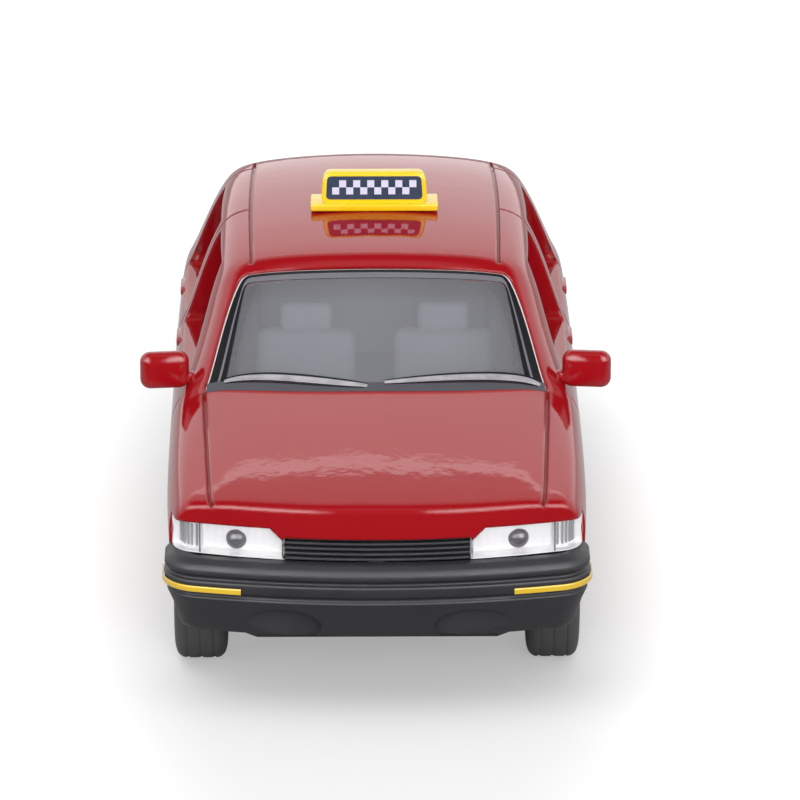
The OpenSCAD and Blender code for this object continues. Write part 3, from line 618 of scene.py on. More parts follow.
def settle(obj: Obj, finish: Finish, body: Body = Body.CAR, nodes: Sequence[str] = (),
           angle: float = 35) -> Obj:
    """Smooths, dresses and mounts a finished piece.

    Args:
        obj: The piece.
        finish: Its finish.
        body: The body it rides on.
        nodes: The nodes it stands for.
        angle: Edges sharper than this stay sharp.

    Returns:
        The piece.
    """
    alone(obj)
    bpy.ops.object.shade_smooth_by_angle(angle=math.radians(angle))
    paint(obj, finish)
    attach(obj, body.value)
    if nodes:
        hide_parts(*nodes)
    LOG.info("%s: %d faces", obj.name, len(obj.data.polygons))
    return obj


def mix(a: Any, b: Any, f: Any) -> Any:
    """The value a share f of the way from a to b."""
    return a + (b - a) * f


def fillet(points: Sequence[Sequence[float]], radius: float, steps: int = 4) -> list[np.ndarray]:
    """Rounds the corners of a closed outline.

    Args:
        points: The corners.
        radius: How far from a corner its rounding starts.
        steps: Points in each rounding.

    Returns:
        The rounded outline.
    """
    corners = [np.array(p, float) for p in points]
    made = []
    for i, p in enumerate(corners):
        ends = []
        for q in (corners[i - 1], corners[(i + 1) % len(corners)]):
            reach = np.linalg.norm(q - p)
            ends.append(p + (q - p) / reach * min(radius, reach * 0.45))
        for t in np.linspace(0, 1, steps):
            made.append((1 - t) ** 2 * ends[0] + 2 * t * (1 - t) * p + t * t * ends[1])
    return made


def spline_weights(t: np.ndarray) -> list[np.ndarray]:
    """The shares of four neighbouring control points in a uniform cubic spline."""
    return [(1 - t) ** 3 / 6, (3 * t ** 3 - 6 * t * t + 4) / 6,
            (3 * t + 3 * t * t - 3 * t ** 3 + 1) / 6, t ** 3 / 6]


def spline(net: np.ndarray, u: np.ndarray, v: np.ndarray) -> np.ndarray:
    """Points of a uniform bicubic spline.

    Args:
        net: The control points, with a spare row or column at each edge.
        u: Rows.
        v: Columns.

    Returns:
        The points.
    """
    i = np.clip(np.floor(u).astype(int), 0, net.shape[0] - 4)
    j = np.clip(np.floor(v).astype(int), 0, net.shape[1] - 4)
    share_u, share_v = spline_weights(u - i), spline_weights(v - j)
    total = np.zeros(u.shape + (3,))
    for p in range(4):
        for q in range(4):
            total += (share_u[p] * share_v[q])[..., None] * net[i + p, j + q]
    return total


@dataclass
class Skin:
    """The smooth outside of the body, lofted through sections at stations along the car."""

    width: float = 25.4
    roof: float = 21.6
    sill: float = 4.6
    wall: float = 1.1
    hood: float = 12.5
    lip: float = 0.22
    nose_in: float = 0.4
    roof_in: float = 0.2
    tail_in: float = 0.95
    cowl: float = 15.2
    cowl_drop: float = 0.5
    tail: float = 13.2
    screen_s: float = 15.5
    screen_run: float = 8.3
    hatch_run: float = 7.3
    header_drop: float = 0.5
    roof_fall: float = 1.05
    belt: float = 13.4
    belt_rise: float = 0.8
    rail_x: float = 9.5
    rail_drop: float = 1.6
    hatch_rail_drop: float = 1.4
    nose_bow: float = 2.3
    roof_bow: float = 1.2
    tail_bow: float = 1.9
    nose_s: float = 1.05
    tail_s: float = LENGTH - 1.3
    end_z: float = 8.2
    end_steps: tuple[float, ...] = (0.2, 0.55, 0.82, 0.94)
    hood_rows: tuple[float, ...] = (0, 0.055, 0.34, 0.69, 0.925, 1)
    screen_rows: tuple[float, ...] = (0.1, 0.52, 0.88)
    roof_rows: tuple[float, ...] = (0, 0.058, 0.25, 0.5, 0.73, 0.9, 1)
    hatch_rows: tuple[float, ...] = (0.16, 0.57, 0.87, 1)
    middle: int = 11
    nets: dict[float, np.ndarray] = field(default_factory=dict)

    @property
    def half(self) -> float:
        """Half the width of the body."""
        return self.width / 2

    @property
    def first_row(self) -> int:
        """The first row of the net after the nose."""
        return len(self.end_steps)

    @property
    def header_s(self) -> float:
        """The station of the roof's front edge."""
        return self.screen_s + self.screen_run

    def nose_at(self, x: float) -> float:
        """The station of the bowed nose at a distance from the middle."""
        return self.nose_s + self.nose_bow * (x / self.half) ** 2

    def lines(self) -> list[list[float]]:
        """The rows of the hood, the windscreen, the roof and the hatch.

        Returns:
            For each station: s, bow, drawn in, belt, rail x, rail z and crown.
        """
        rows = []
        header_h, hatch_s = self.roof - self.header_drop, self.tail_s - self.hatch_run
        hatch_h = self.roof - self.roof_fall
        for f in self.hood_rows:
            crown = mix(self.hood, self.cowl, f ** 0.7) + self.lip * max(0, 1 - f / 0.1)
            rows.append([mix(self.nose_s, self.screen_s, f), mix(self.nose_bow, self.tail_bow, f),
                         self.nose_in * (1 - f) ** 4, mix(self.hood - 0.75, self.belt, f ** 0.6),
                         mix(self.rail_x + 0.2, self.rail_x + 0.85, f),
                         crown - mix(0.15, self.cowl_drop, f), crown])
        for f in self.screen_rows:
            rail_z = mix(self.cowl - self.cowl_drop, header_h - self.rail_drop, f)
            rows.append([mix(self.screen_s, self.header_s, f), mix(self.tail_bow, self.roof_bow, f), 0,
                         self.belt, mix(self.rail_x + 0.9, self.rail_x, f),
                         rail_z + 0.25 * math.sin(math.pi * f), mix(self.cowl, header_h, f)])
        for f in self.roof_rows:
            crown = (self.roof + 0.05 - self.header_drop * max(0, 1 - f / 0.25) ** 2
                     - self.roof_fall * max(0, (f - 0.45) / 0.55) ** 2.2)
            rows.append([mix(self.header_s, hatch_s, f), mix(self.roof_bow, -self.roof_bow, f),
                         self.roof_in * f ** 4, self.belt + self.belt_rise * f,
                         self.rail_x + 0.25 * math.sin(math.pi * f),
                         crown - mix(self.rail_drop, self.hatch_rail_drop, f), crown])
        for f in self.hatch_rows:
            crown = mix(hatch_h, self.tail, f) + 0.5 * math.sin(math.pi * f)
            rows.append([mix(hatch_s, self.tail_s, f), mix(-self.roof_bow, -self.tail_bow, f),
                         mix(self.roof_in, self.tail_in, f),
                         mix(self.belt + self.belt_rise, self.tail - 1.5, f ** 1.3),
                         mix(self.rail_x, self.rail_x - 1, f),
                         crown - mix(self.hatch_rail_drop, 0.4, f), crown])
        return rows

    def half_section(self, st: Sequence[float], inset: float) -> np.ndarray:
        """Half a section from the sill up the side and over the rail to the middle of the roof.

        Args:
            st: One row of lines().
            inset: How far the skin is drawn in.

        Returns:
            Points of x and z.
        """
        w, belt, rail, crown = self.half - st[2], st[3], np.array([st[4], st[5]]), st[6]
        shoulder = np.array([w - 0.9, belt + 0.6])
        up = mix(shoulder, rail, 0.55) + [0.15, 0]
        half = np.array([
            [w - 1.45, self.sill], [w - 0.65, self.sill + 0.4], [w - 0.2, self.sill + 2.6],
            [w, self.sill + 5.6], [w - 0.15, belt - 1], [w - 0.5, belt], shoulder, up, rail,
            [rail[0] - 1.05, mix(rail[1], crown, 0.62)], [rail[0] / 2, crown - 0.15], [0, crown]])
        inward = np.array([
            [1, 2.2], [1, 1.2], [1, 0], [1, 0], [1, 0.1], [0.97, 0.25], [0.93, 0.3], [0.9, 0.4], [0.75, 0.7],
            [0.45, 0.92], [0.1, 1], [0, 1]])
        return half - inset * inward

    def ring(self, st: Sequence[float], inset: float, k: float = 1.0) -> np.ndarray:
        """A whole ring of the control net, shrunk on the end face's middle where it closes the nose or tail.

        Args:
            st: One row of lines().
            inset: How far the skin is drawn in.
            k: The ring's share of its full size.

        Returns:
            23 points.
        """
        half = self.half_section(st, inset) * k + [0, self.end_z * (1 - k)]
        s0 = LENGTH / 2 + (st[0] - LENGTH / 2) * (1 - 2 * inset / LENGTH)
        left = np.array([at(x, s0 + st[1] * (x / self.half) ** 2, z) for x, z in half])
        return np.concatenate([left, left[-2::-1] * [-1, 1, 1]])

    def net(self, inset: float = 0.0) -> np.ndarray:
        """The control net, made once for each inset.

        Args:
            inset: How far the skin is drawn in.

        Returns:
            Rings from the nose to the tail.
        """
        if inset not in self.nets:
            rows = self.lines()
            self.nets[inset] = np.array(
                [self.ring(rows[0], inset, k) for k in self.end_steps] + [self.ring(st, inset) for st in rows]
                + [self.ring(rows[-1], inset, k) for k in self.end_steps[::-1]])
        return self.nets[inset]

    def row_at(self, s: float) -> float:
        """The row of the net whose side lies at a station."""
        rows = self.lines()
        return float(np.interp(s, [st[0] + st[1] for st in rows], np.arange(len(rows)) + self.first_row))

    def point(self, u: Any, v: Any, lift: float | np.ndarray = 0.0, inset: float = 0.0) -> np.ndarray:
        """Points of the skin: a uniform cubic spline over the net both ways.

        Args:
            u: Rows.
            v: Columns.
            lift: Height over the skin.
            inset: How far the net is drawn in.

        Returns:
            Points in millimetres.
        """
        n = self.net(inset)
        n = np.concatenate([2 * n[:1] - n[1:2], n, 2 * n[-1:] - n[-2:-1]])
        n = np.concatenate([2 * n[:, :1] - n[:, 1:2], n, 2 * n[:, -1:] - n[:, -2:-1]], axis=1)
        u, v = np.broadcast_arrays(np.asarray(u, float), np.asarray(v, float))
        here = spline(n, u, v)
        if not np.any(lift):
            return here
        e = 0.03
        up = np.cross(spline(n, u + e, v) - spline(n, u - e, v), spline(n, u, v + e) - spline(n, u, v - e))
        return here + np.asarray(lift)[..., None] * up / np.linalg.norm(up, axis=-1)[..., None]

    def strip(self, name: str, path: np.ndarray, section: Sequence[Sequence[float]],
              scale: np.ndarray | None = None) -> Obj:
        """A thin strip along a path of [row, column], its section as [across, out].

        Args:
            name: The object's name.
            path: Rows and columns.
            section: The closed section.
            scale: The section's size at each point of the path.

        Returns:
            The solid.
        """
        spots = self.point(path[:, 0], path[:, 1])
        ups = self.point(path[:, 0], path[:, 1], 1.0) - spots
        across = np.cross(np.gradient(spots, axis=0), ups)
        across /= np.linalg.norm(across, axis=1)[:, None]
        size = np.ones(len(path)) if scale is None else scale
        rings = [[p + k * (q[0] * a + q[1] * n) for q in section]
                 for p, a, n, k in zip(spots, across, ups, size)]
        return loft(name, np.array(rings))


SKIN = Skin()
FIRST = SKIN.first_row


def run(u0: float, u1: float, v0: float, v1: float, n: int = 48) -> np.ndarray:
    """A straight path over the skin's rows and columns."""
    return np.column_stack([np.linspace(u0, u1, n), np.linspace(v0, v1, n)])


def tapered(low_w: float, top_w: float, low: float, top: float) -> list[list[float]]:
    """The section of a strip that narrows upwards, from its half widths and its heights."""
    return [[-low_w, low], [low_w, low], [top_w, top], [-top_w, top]]


def bowed(x: float, w: float, s0: float, bow: float) -> tuple[np.ndarray, np.ndarray]:
    """A plan point of a bowed end with its outward direction."""
    n = np.array([2 * bow * x / (w * w), -1])
    return np.array([x, s0 + bow * (x / w) ** 2]), n / np.linalg.norm(n)


def end_path(w: float, s0: float, bow: float, r: float, reach: float) -> Path:
    """Half of a bowed end with a round corner, from the middle back along the side.

    Args:
        w: Half width.
        s0: Station of the middle.
        bow: How far the corners lie behind the middle.
        r: Corner radius.
        reach: Station where the side ends.

    Returns:
        Plan points with their outward directions.
    """
    xe = w - 0.78 * r
    a0 = math.atan(2 * bow * xe / (w * w))
    c = np.array([xe - r * math.sin(a0), s0 + bow * (xe / w) ** 2 + r * math.cos(a0)])
    path: Path = [bowed(x, w, s0, bow) for x in np.linspace(0, xe, 40)]
    for a in np.linspace(a0, math.pi / 2, 18)[1:]:
        n = np.array([math.sin(a), -math.cos(a)])
        path.append((c + r * n, n))
    path.append((np.array([c[0] + r, max(reach, c[1] + 0.1)]), np.array([1.0, 0.0])))
    return path


def whole(path: Path) -> Path:
    """Both halves of a half path."""
    flip = np.array([-1, 1])
    return [(p * flip, n * flip) for p, n in path[:0:-1]] + path


def outer(path: Path, x: float) -> Path:
    """The part of a half path that lies further out than x."""
    return [(p, n) for p, n in path if p[0] > x]


def sided(path: Path, side: Side) -> Path:
    """A half path on one side of the car."""
    flip = np.array([side.value, 1])
    return [(p * flip, n * flip) for p, n in path]


def rearward(path: Path) -> Path:
    """A front path turned round to the rear."""
    return [(np.array([p[0], LENGTH - p[1]]), n * [1, -1]) for p, n in path]


def finer(path: Path, steps: int) -> Path:
    """A path with points added between its own.

    Args:
        path: Plan points with their outward directions.
        steps: How many steps each stretch gets.

    Returns:
        The finer path, without the last point.
    """
    made: Path = []
    for (p, n), (p2, n2) in zip(path, path[1:]):
        for f in np.linspace(0, 1, steps, endpoint=False):
            m = mix(n, n2, f)
            made.append((mix(p, p2, f), m / np.linalg.norm(m)))
    return made


@dataclass(frozen=True)
class Layout:
    """Sizes and lines that the openings of the casting share with the pieces that fill them."""

    gap: float = 0.06
    axle_s: float = 10.9
    wheelbase: float = 36.6
    tyre_r: float = 4.5
    bumper_top: float = 9.4
    front_reach: float = 5.2
    rear_reach: float = 3.5
    grille_x: float = 5.44
    grille_top: float = 10.7
    lamp_r: float = 1.8
    lamp_in: float = 0.3
    lamp_top: float = 11.31
    lamp_reach: float = 4.71
    slant_x: float = 5.56
    slant_run: float = 0.94
    slant_top: float = 11.41
    tail_in: float = 0.75
    tail_x: float = 8.2
    tail_h: float = 2.6
    tail_reach: float = 5.0

    @property
    def sill(self) -> float:
        """The lower edge of the openings for the lamps and the grille."""
        return self.bumper_top + self.gap

    def lamp_line(self, grow: float = 0.0) -> Path:
        """Half of the headlights' line round the nose, longer for their openings."""
        return end_path(SKIN.half - self.lamp_in, SKIN.nose_s + 0.05, SKIN.nose_bow, self.lamp_r,
                        self.lamp_reach + grow)

    def tail_line(self) -> Path:
        """Half of the tail lights' line round the tail."""
        return rearward(end_path(SKIN.half - self.tail_in, LENGTH - SKIN.tail_s - 0.1, SKIN.tail_bow,
                                 self.lamp_r, self.tail_reach))

    def slanted(self, obj: Obj, side: Side, grow: float = 0.0) -> Obj:
        """Cuts the slanting inner end of a headlight, or of the opening for it.

        Args:
            obj: The solid along the nose.
            side: The side of the car.
            grow: How much larger the solid stays.

        Returns:
            The solid.
        """
        k, inner, slant = side.value, self.slant_x - grow, math.sqrt(0.5)
        bisected(obj, at(k * inner, 0, 0), (-k, 0, 0))
        corner = at(k * (inner + self.slant_run), 0, self.slant_top + grow)
        return bisected(obj, corner, (-k * slant, 0, slant))


LAYOUT = Layout()


@dataclass(frozen=True)
class Band:
    """A band round a pane, inside the one before it: the shares at which it ends, and its surface."""

    word: str
    low: float
    high: float
    side_low: float
    side_high: float
    finish: Finish
    slot: str


@dataclass
class Glass:
    """A pane that is a patch of the skin with round corners, and the bands round it: printed borders, and on
    the windscreen a painted highlight, painted light and painted shade.
    """

    name: str
    rows: tuple[float, float]
    cols: tuple[float, float]
    bands: tuple[Band, ...]
    sink: float = 0.12
    corner_h: float = 0.09
    corner_w: float = 0.05
    print_lift: float = 0.015
    print_t: float = 0.03

    def outline(self, grow: float, lift: float) -> np.ndarray:
        """The pane's grid of points.

        Args:
            grow: Share by which the patch is larger.
            lift: Height over the skin.

        Returns:
            The grid.
        """
        c = self.corner_h
        stretches = [np.linspace(0, c, 10), np.linspace(c, 1 - c, 40), np.linspace(1 - c, 1, 10)]
        q = np.unique(np.concatenate(stretches))
        e = np.maximum(0, 1 - np.minimum(q, 1 - q) / c)
        corner = 1 - self.corner_w * (1 - np.sqrt(np.maximum(0, 1 - e * e)))
        k = 0.5 + (q - 0.5) * (1 + grow)
        half = (1 + grow) * corner * (SKIN.middle - mix(self.cols[0], self.cols[1], k))
        p = np.linspace(-1, 1, 49)
        u = mix(self.rows[0], self.rows[1], k)[:, None] + 0 * p[None, :]
        return SKIN.point(u, SKIN.middle + half[:, None] * p[None, :], lift)

    def cutter(self) -> Obj:
        """The solid that opens the casting for the pane."""
        return slab(self.name + "_cut", self.outline(0.01, 1.0), self.outline(0.01, -SKIN.wall - 1.4))

    def build(self) -> None:
        """Makes the pane and the bands round its rim: print, and the painted highlight, light and shade bands
        where the pane has them.
        """
        pane = slab(self.name + "_pane", self.outline(0, -self.sink), self.outline(0, -SKIN.wall))
        settle(pane, CLEAR_TINT, nodes=[self.name])
        rim = self.outline(0, self.print_lift - self.sink)
        for band in self.bands:
            inside = self.inner(band)
            loop = [np.concatenate([g[0], g[1:-1, -1], g[-1, ::-1], g[-2:0:-1, 0]]) for g in (rim, inside)]
            ring = loft(f"{self.name}_{band.word}", np.array(loop), caps=False)
            modify(ring, "SOLIDIFY", thickness=self.print_t * MM, offset=0)
            settle(ring, band.finish)
            rim = inside

    def inner(self, band: Band) -> np.ndarray:
        """The grid that the inner edge of a band is taken from.

        Args:
            band: The band.

        Returns:
            The grid.
        """
        cols = tuple(SKIN.middle - (SKIN.middle - mix(*self.cols, f)) * (1 - side)
                     for f, side in ((band.low, band.side_low), (1 - band.high, band.side_high)))
        kept = Glass(self.name, (mix(*self.rows, band.low), mix(*self.rows, 1 - band.high)), cols, ())
        return kept.outline(0, self.print_lift - self.sink)


WINDSCREEN = Glass("windscreen", (FIRST + 5.2, FIRST + 8.35), (7.8, 8.97), (
    # The edge band is a painted highlight: pale light caught in the cut edge of the pane.
    Band("edge", 0.004, 0.004, 0.03, 0.02, PANE_EDGE_HIGHLIGHT, "window"),
    Band("border", 0.02, 0.04, 0.2, 0.06, BLACK_TRIM, "black_plastic"),
    # The ledge band is painted light: the paler grey seen in the thick edge of the pane.
    Band("ledge", 0.03, 0.1, 0.235, 0.085, LEDGE_LIGHT_GREY, "black_plastic"),
    # The shade band is painted shade: black, widest on the lower sides of the pane.
    Band("shade", 0.032, 0.102, 0.3, 0.1, BLACK_TRIM, "black_plastic")))
REAR_WINDOW = Glass("rear_window", (FIRST + 15.6, FIRST + 17.5), (8.75, 8.6), (
    Band("border", 0.08, 0.08, 0.07, 0.07, BLACK_TRIM, "black_plastic"),))


@dataclass
class Casting:
    """The painted zinc casting: one skin with its wall, its openings and its panel lines."""

    door_s: float = 18.2
    split_s: float = 33.8
    door_end_s: float = 43.9
    pillar: float = 1.6
    corner: float = 0.55
    arch_r: float = 5.25
    arch_in: float = 1.7
    lamp_deep: float = 1.65
    tail_deep: float = 1.2
    line_w: float = 0.16
    line_d: float = 0.3
    hood_line_v: float = 7.8
    ditch_v: float = 9.15
    hatch_row: float = 15.2
    hatch_v: float = 7.9
    handle_v: float = 4.55
    handle_ahead: tuple[float, float] = (1.9, 2.6)
    handle_size: tuple[float, float, float] = (0.36, 2.2, 0.6)

    def build(self) -> None:
        """Lofts, thickens, opens and engraves the casting."""
        shell = loft("body_casting", SKIN.net()[:, ::-1], closed=False, caps=False)
        modify(shell, "SUBSURF", levels=3, render_levels=3, boundary_smooth="PRESERVE_CORNERS")
        modify(shell, "SOLIDIFY", thickness=SKIN.wall * MM, offset=-1, use_even_offset=True)
        for cutter in self.cutters():
            cut(shell, cutter)
        door_ends = (self.split_s, self.door_end_s)
        handles = [self.handle(side, s - ahead) for side in Side
                   for s, ahead in zip(door_ends, self.handle_ahead)]
        whole_body = joined("body_casting", [shell, *handles])
        settle(whole_body, ENAMEL, nodes=["body_shell"], angle=32)

    def cutters(self) -> list[Obj]:
        """The solids that open and engrave the casting.

        Returns:
            The cutters, in the order of their use.
        """
        found = [WINDSCREEN.cutter(), REAR_WINDOW.cutter()]
        for side in Side:
            found += [self.window(side, corners) for corners in self.windows()]
            for s in (LAYOUT.axle_s, LAYOUT.axle_s + LAYOUT.wheelbase):
                hub = at(side.value * (SKIN.half - self.arch_in), s, LAYOUT.tyre_r)
                found.append(drum("arch_cut", self.arch_r, 6, hub, (0, 90, 0)))
        found += self.end_cutters()
        for side in Side:
            found += self.lamp_cutters(side)
        return found + self.panel_lines()

    def end_cutters(self) -> list[Obj]:
        """Blocks that open the ends for the bumpers and the grille.

        Returns:
            The cutters.
        """
        low, wide, gap = SKIN.sill - 3, SKIN.half + 1, LAYOUT.gap
        spans = (
            (-1, LAYOUT.front_reach + gap, wide, low, LAYOUT.sill),
            (LENGTH - LAYOUT.rear_reach - gap, LENGTH + 2, wide, low, LAYOUT.sill),
            (-1, SKIN.nose_s + 2, LAYOUT.grille_x + 2 * gap, LAYOUT.sill - 0.5, LAYOUT.grille_top + 2 * gap))
        return [block("end_cut", (2 * x, s1 - s0, z1 - z0), at(0, (s0 + s1) / 2, (z0 + z1) / 2), 0)
                for s0, s1, x, z0, z1 in spans]

    def lamp_cutters(self, side: Side) -> list[Obj]:
        """Solids that open one side for its headlight and its tail light.

        Args:
            side: The side of the car.

        Returns:
            The two cutters.
        """
        made = []
        for path, x, deep, top in (
                (LAYOUT.lamp_line(LAYOUT.gap), LAYOUT.slant_x - 1, self.lamp_deep, LAYOUT.lamp_top),
                (LAYOUT.tail_line(), LAYOUT.tail_x - 0.1, self.tail_deep, LAYOUT.sill + LAYOUT.tail_h)):
            z0, z1 = LAYOUT.sill - 1, top + LAYOUT.gap
            section = [[-deep, z0], [1, z0], [1, z1], [-deep, z1]]
            made.append(sweep("lamp_cut", sided(outer(path, x), side), section))
        LAYOUT.slanted(made[0], side, LAYOUT.gap)
        return made

    def windows(self) -> list[list[tuple[float, float]]]:
        """The side windows in the side view.

        Returns:
            For each window the middles of its round corners, as station and height.
        """
        low, top = SKIN.belt + 0.95, SKIN.roof - SKIN.rail_drop - 0.6
        front_end = self.split_s - self.pillar / 2 - self.corner
        rear_start = self.split_s + self.pillar / 2 + self.corner
        return [[(self.door_s + 3, low), (front_end, low + 0.15), (front_end, top),
                 (SKIN.header_s + 3.4, top - 0.2)],
                [(rear_start, low + 0.15), (self.door_end_s - 0.6, low + 0.45),
                 (self.door_end_s - 1.3, top - 0.2), (rear_start, top)]]

    def window(self, side: Side, corners: list[tuple[float, float]]) -> Obj:
        """A cutter for one side window.

        Args:
            side: The side of the car.
            corners: The middles of its round corners.

        Returns:
            The cutter.
        """
        outline = []
        n = len(corners)
        for i, c in enumerate(corners):
            before, after = (math.atan2(b[1] - a[1], b[0] - a[0]) - math.pi / 2
                             for a, b in ((corners[i - 1], c), (c, corners[(i + 1) % n])))
            after += 2 * math.pi if after < before else 0
            outline += [(c[0] + self.corner * math.cos(a), c[1] + self.corner * math.sin(a))
                        for a in np.linspace(before, after, 10)]
        rings = [[at(side.value * x, s, z) for s, z in outline] for x in (SKIN.half - 5, SKIN.half + 1)]
        return loft("window_cut", np.array(rings))

    def panel_lines(self) -> list[Obj]:
        """Cutters for the engraved lines of the hood, roof, doors and hatch.

        Returns:
            The cutters.
        """
        door, split, end = (SKIN.row_at(s) for s in (self.door_s, self.split_s, self.door_end_s))
        hatch, last = FIRST + self.hatch_row, FIRST + len(SKIN.lines()) - 0.6
        across = 2 * SKIN.middle
        one_side = [
            run(FIRST - 0.2, FIRST + 5.05, self.hood_line_v, self.hood_line_v),
            run(FIRST + 9, FIRST + 15, self.ditch_v, self.ditch_v),
            run(door, door, 0.6, 5.6), run(split, split, 0.6, self.ditch_v), run(end, end, 3.4, self.ditch_v),
            run(hatch, last, self.hatch_v, self.hatch_v - 0.3)]
        paths = [p for one in one_side for p in (one, np.column_stack([one[:, 0], across - one[:, 1]]))]
        paths.append(run(hatch, hatch, self.hatch_v, across - self.hatch_v))
        w, d = self.line_w, self.line_d
        section = [[0, -d], [w * 0.6, -d * 0.7], [w, 0.3], [-w, 0.3], [-w * 0.6, -d * 0.7]]
        return [SKIN.strip("line_cut", path, section) for path in paths]

    def handle(self, side: Side, s: float) -> Obj:
        """A door handle at a station, a little proud of the door."""
        spot = SKIN.point(SKIN.row_at(s), self.handle_v)
        return block("handle", self.handle_size, spot * [side.value, 1, 1] - [side.value * 0.04, 0, 0], 0.15)


@dataclass
class SideGlass:
    """The clear pane inside each side of the casting."""

    gap: float = 0.2
    thickness: float = 0.7
    low_v: float = 5.0
    top_v: float = 9.0

    def build(self) -> None:
        """Makes both panes."""
        u = np.linspace(FIRST + 6.3, FIRST + 15, 70)
        edge = np.minimum(self.top_v, 8 + 0.5 * (u - FIRST - 7))
        v = self.low_v + (edge[:, None] - self.low_v) * np.linspace(0, 1, 25)[None, :]
        outside, inside = (SKIN.point(u[:, None] + 0 * v, v, 0.0, SKIN.wall + self.gap + t)
                           for t in (0, self.thickness))
        for side in Side:
            flip = np.array([side.value, 1, 1])
            pane = slab(f"side_pane_{side.label}", outside * flip, inside * flip)
            settle(pane, DARK_TINT, nodes=[f"side_glass_{side.label}"])


@dataclass
class Wipers:
    """Two parked wipers, each a bright arm on a black blade, and the grey strip below them."""

    spans: tuple[tuple[float, float], ...] = ((8.3, 10.9), (11.1, 13.2))
    rise: float = 0.4
    low: float = 0.12
    sweep_deg: float = 150
    cowl_v: float = 8.0
    cowl_row: float = 0.02

    def build(self) -> None:
        """Makes the arms, the blades and the strip."""
        screen_row = WINDSCREEN.rows[0]
        arms, blades = [], []
        f = np.linspace(0, 1, 40)
        broad = 0.45 + 0.55 * np.sin(math.pi * f ** 0.8) ** 0.7
        for v0, v1 in self.spans:
            rows = screen_row + self.low + self.rise * np.sin(math.radians(self.sweep_deg) * f)
            path = np.column_stack([rows, mix(v0, v1, f)])
            blades.append(SKIN.strip("blade", path, tapered(0.42, 0.38, -0.1, 0.1), broad))
            arms.append(SKIN.strip("arm", path, tapered(0.24, 0.12, 0.09, 0.22), broad))
        cowl_row = screen_row + self.cowl_row
        path = run(cowl_row, cowl_row, self.cowl_v, 2 * SKIN.middle - self.cowl_v, 60)
        settle(SKIN.strip("cowl_strip", path, tapered(0.4, 0.38, -0.12, 0.05)), COWL_GREY)
        settle(joined("wiper_blades", blades), BLACK_TRIM)
        settle(joined("wiper_arms", arms), WIPER_SILVER, nodes=["wipers"])


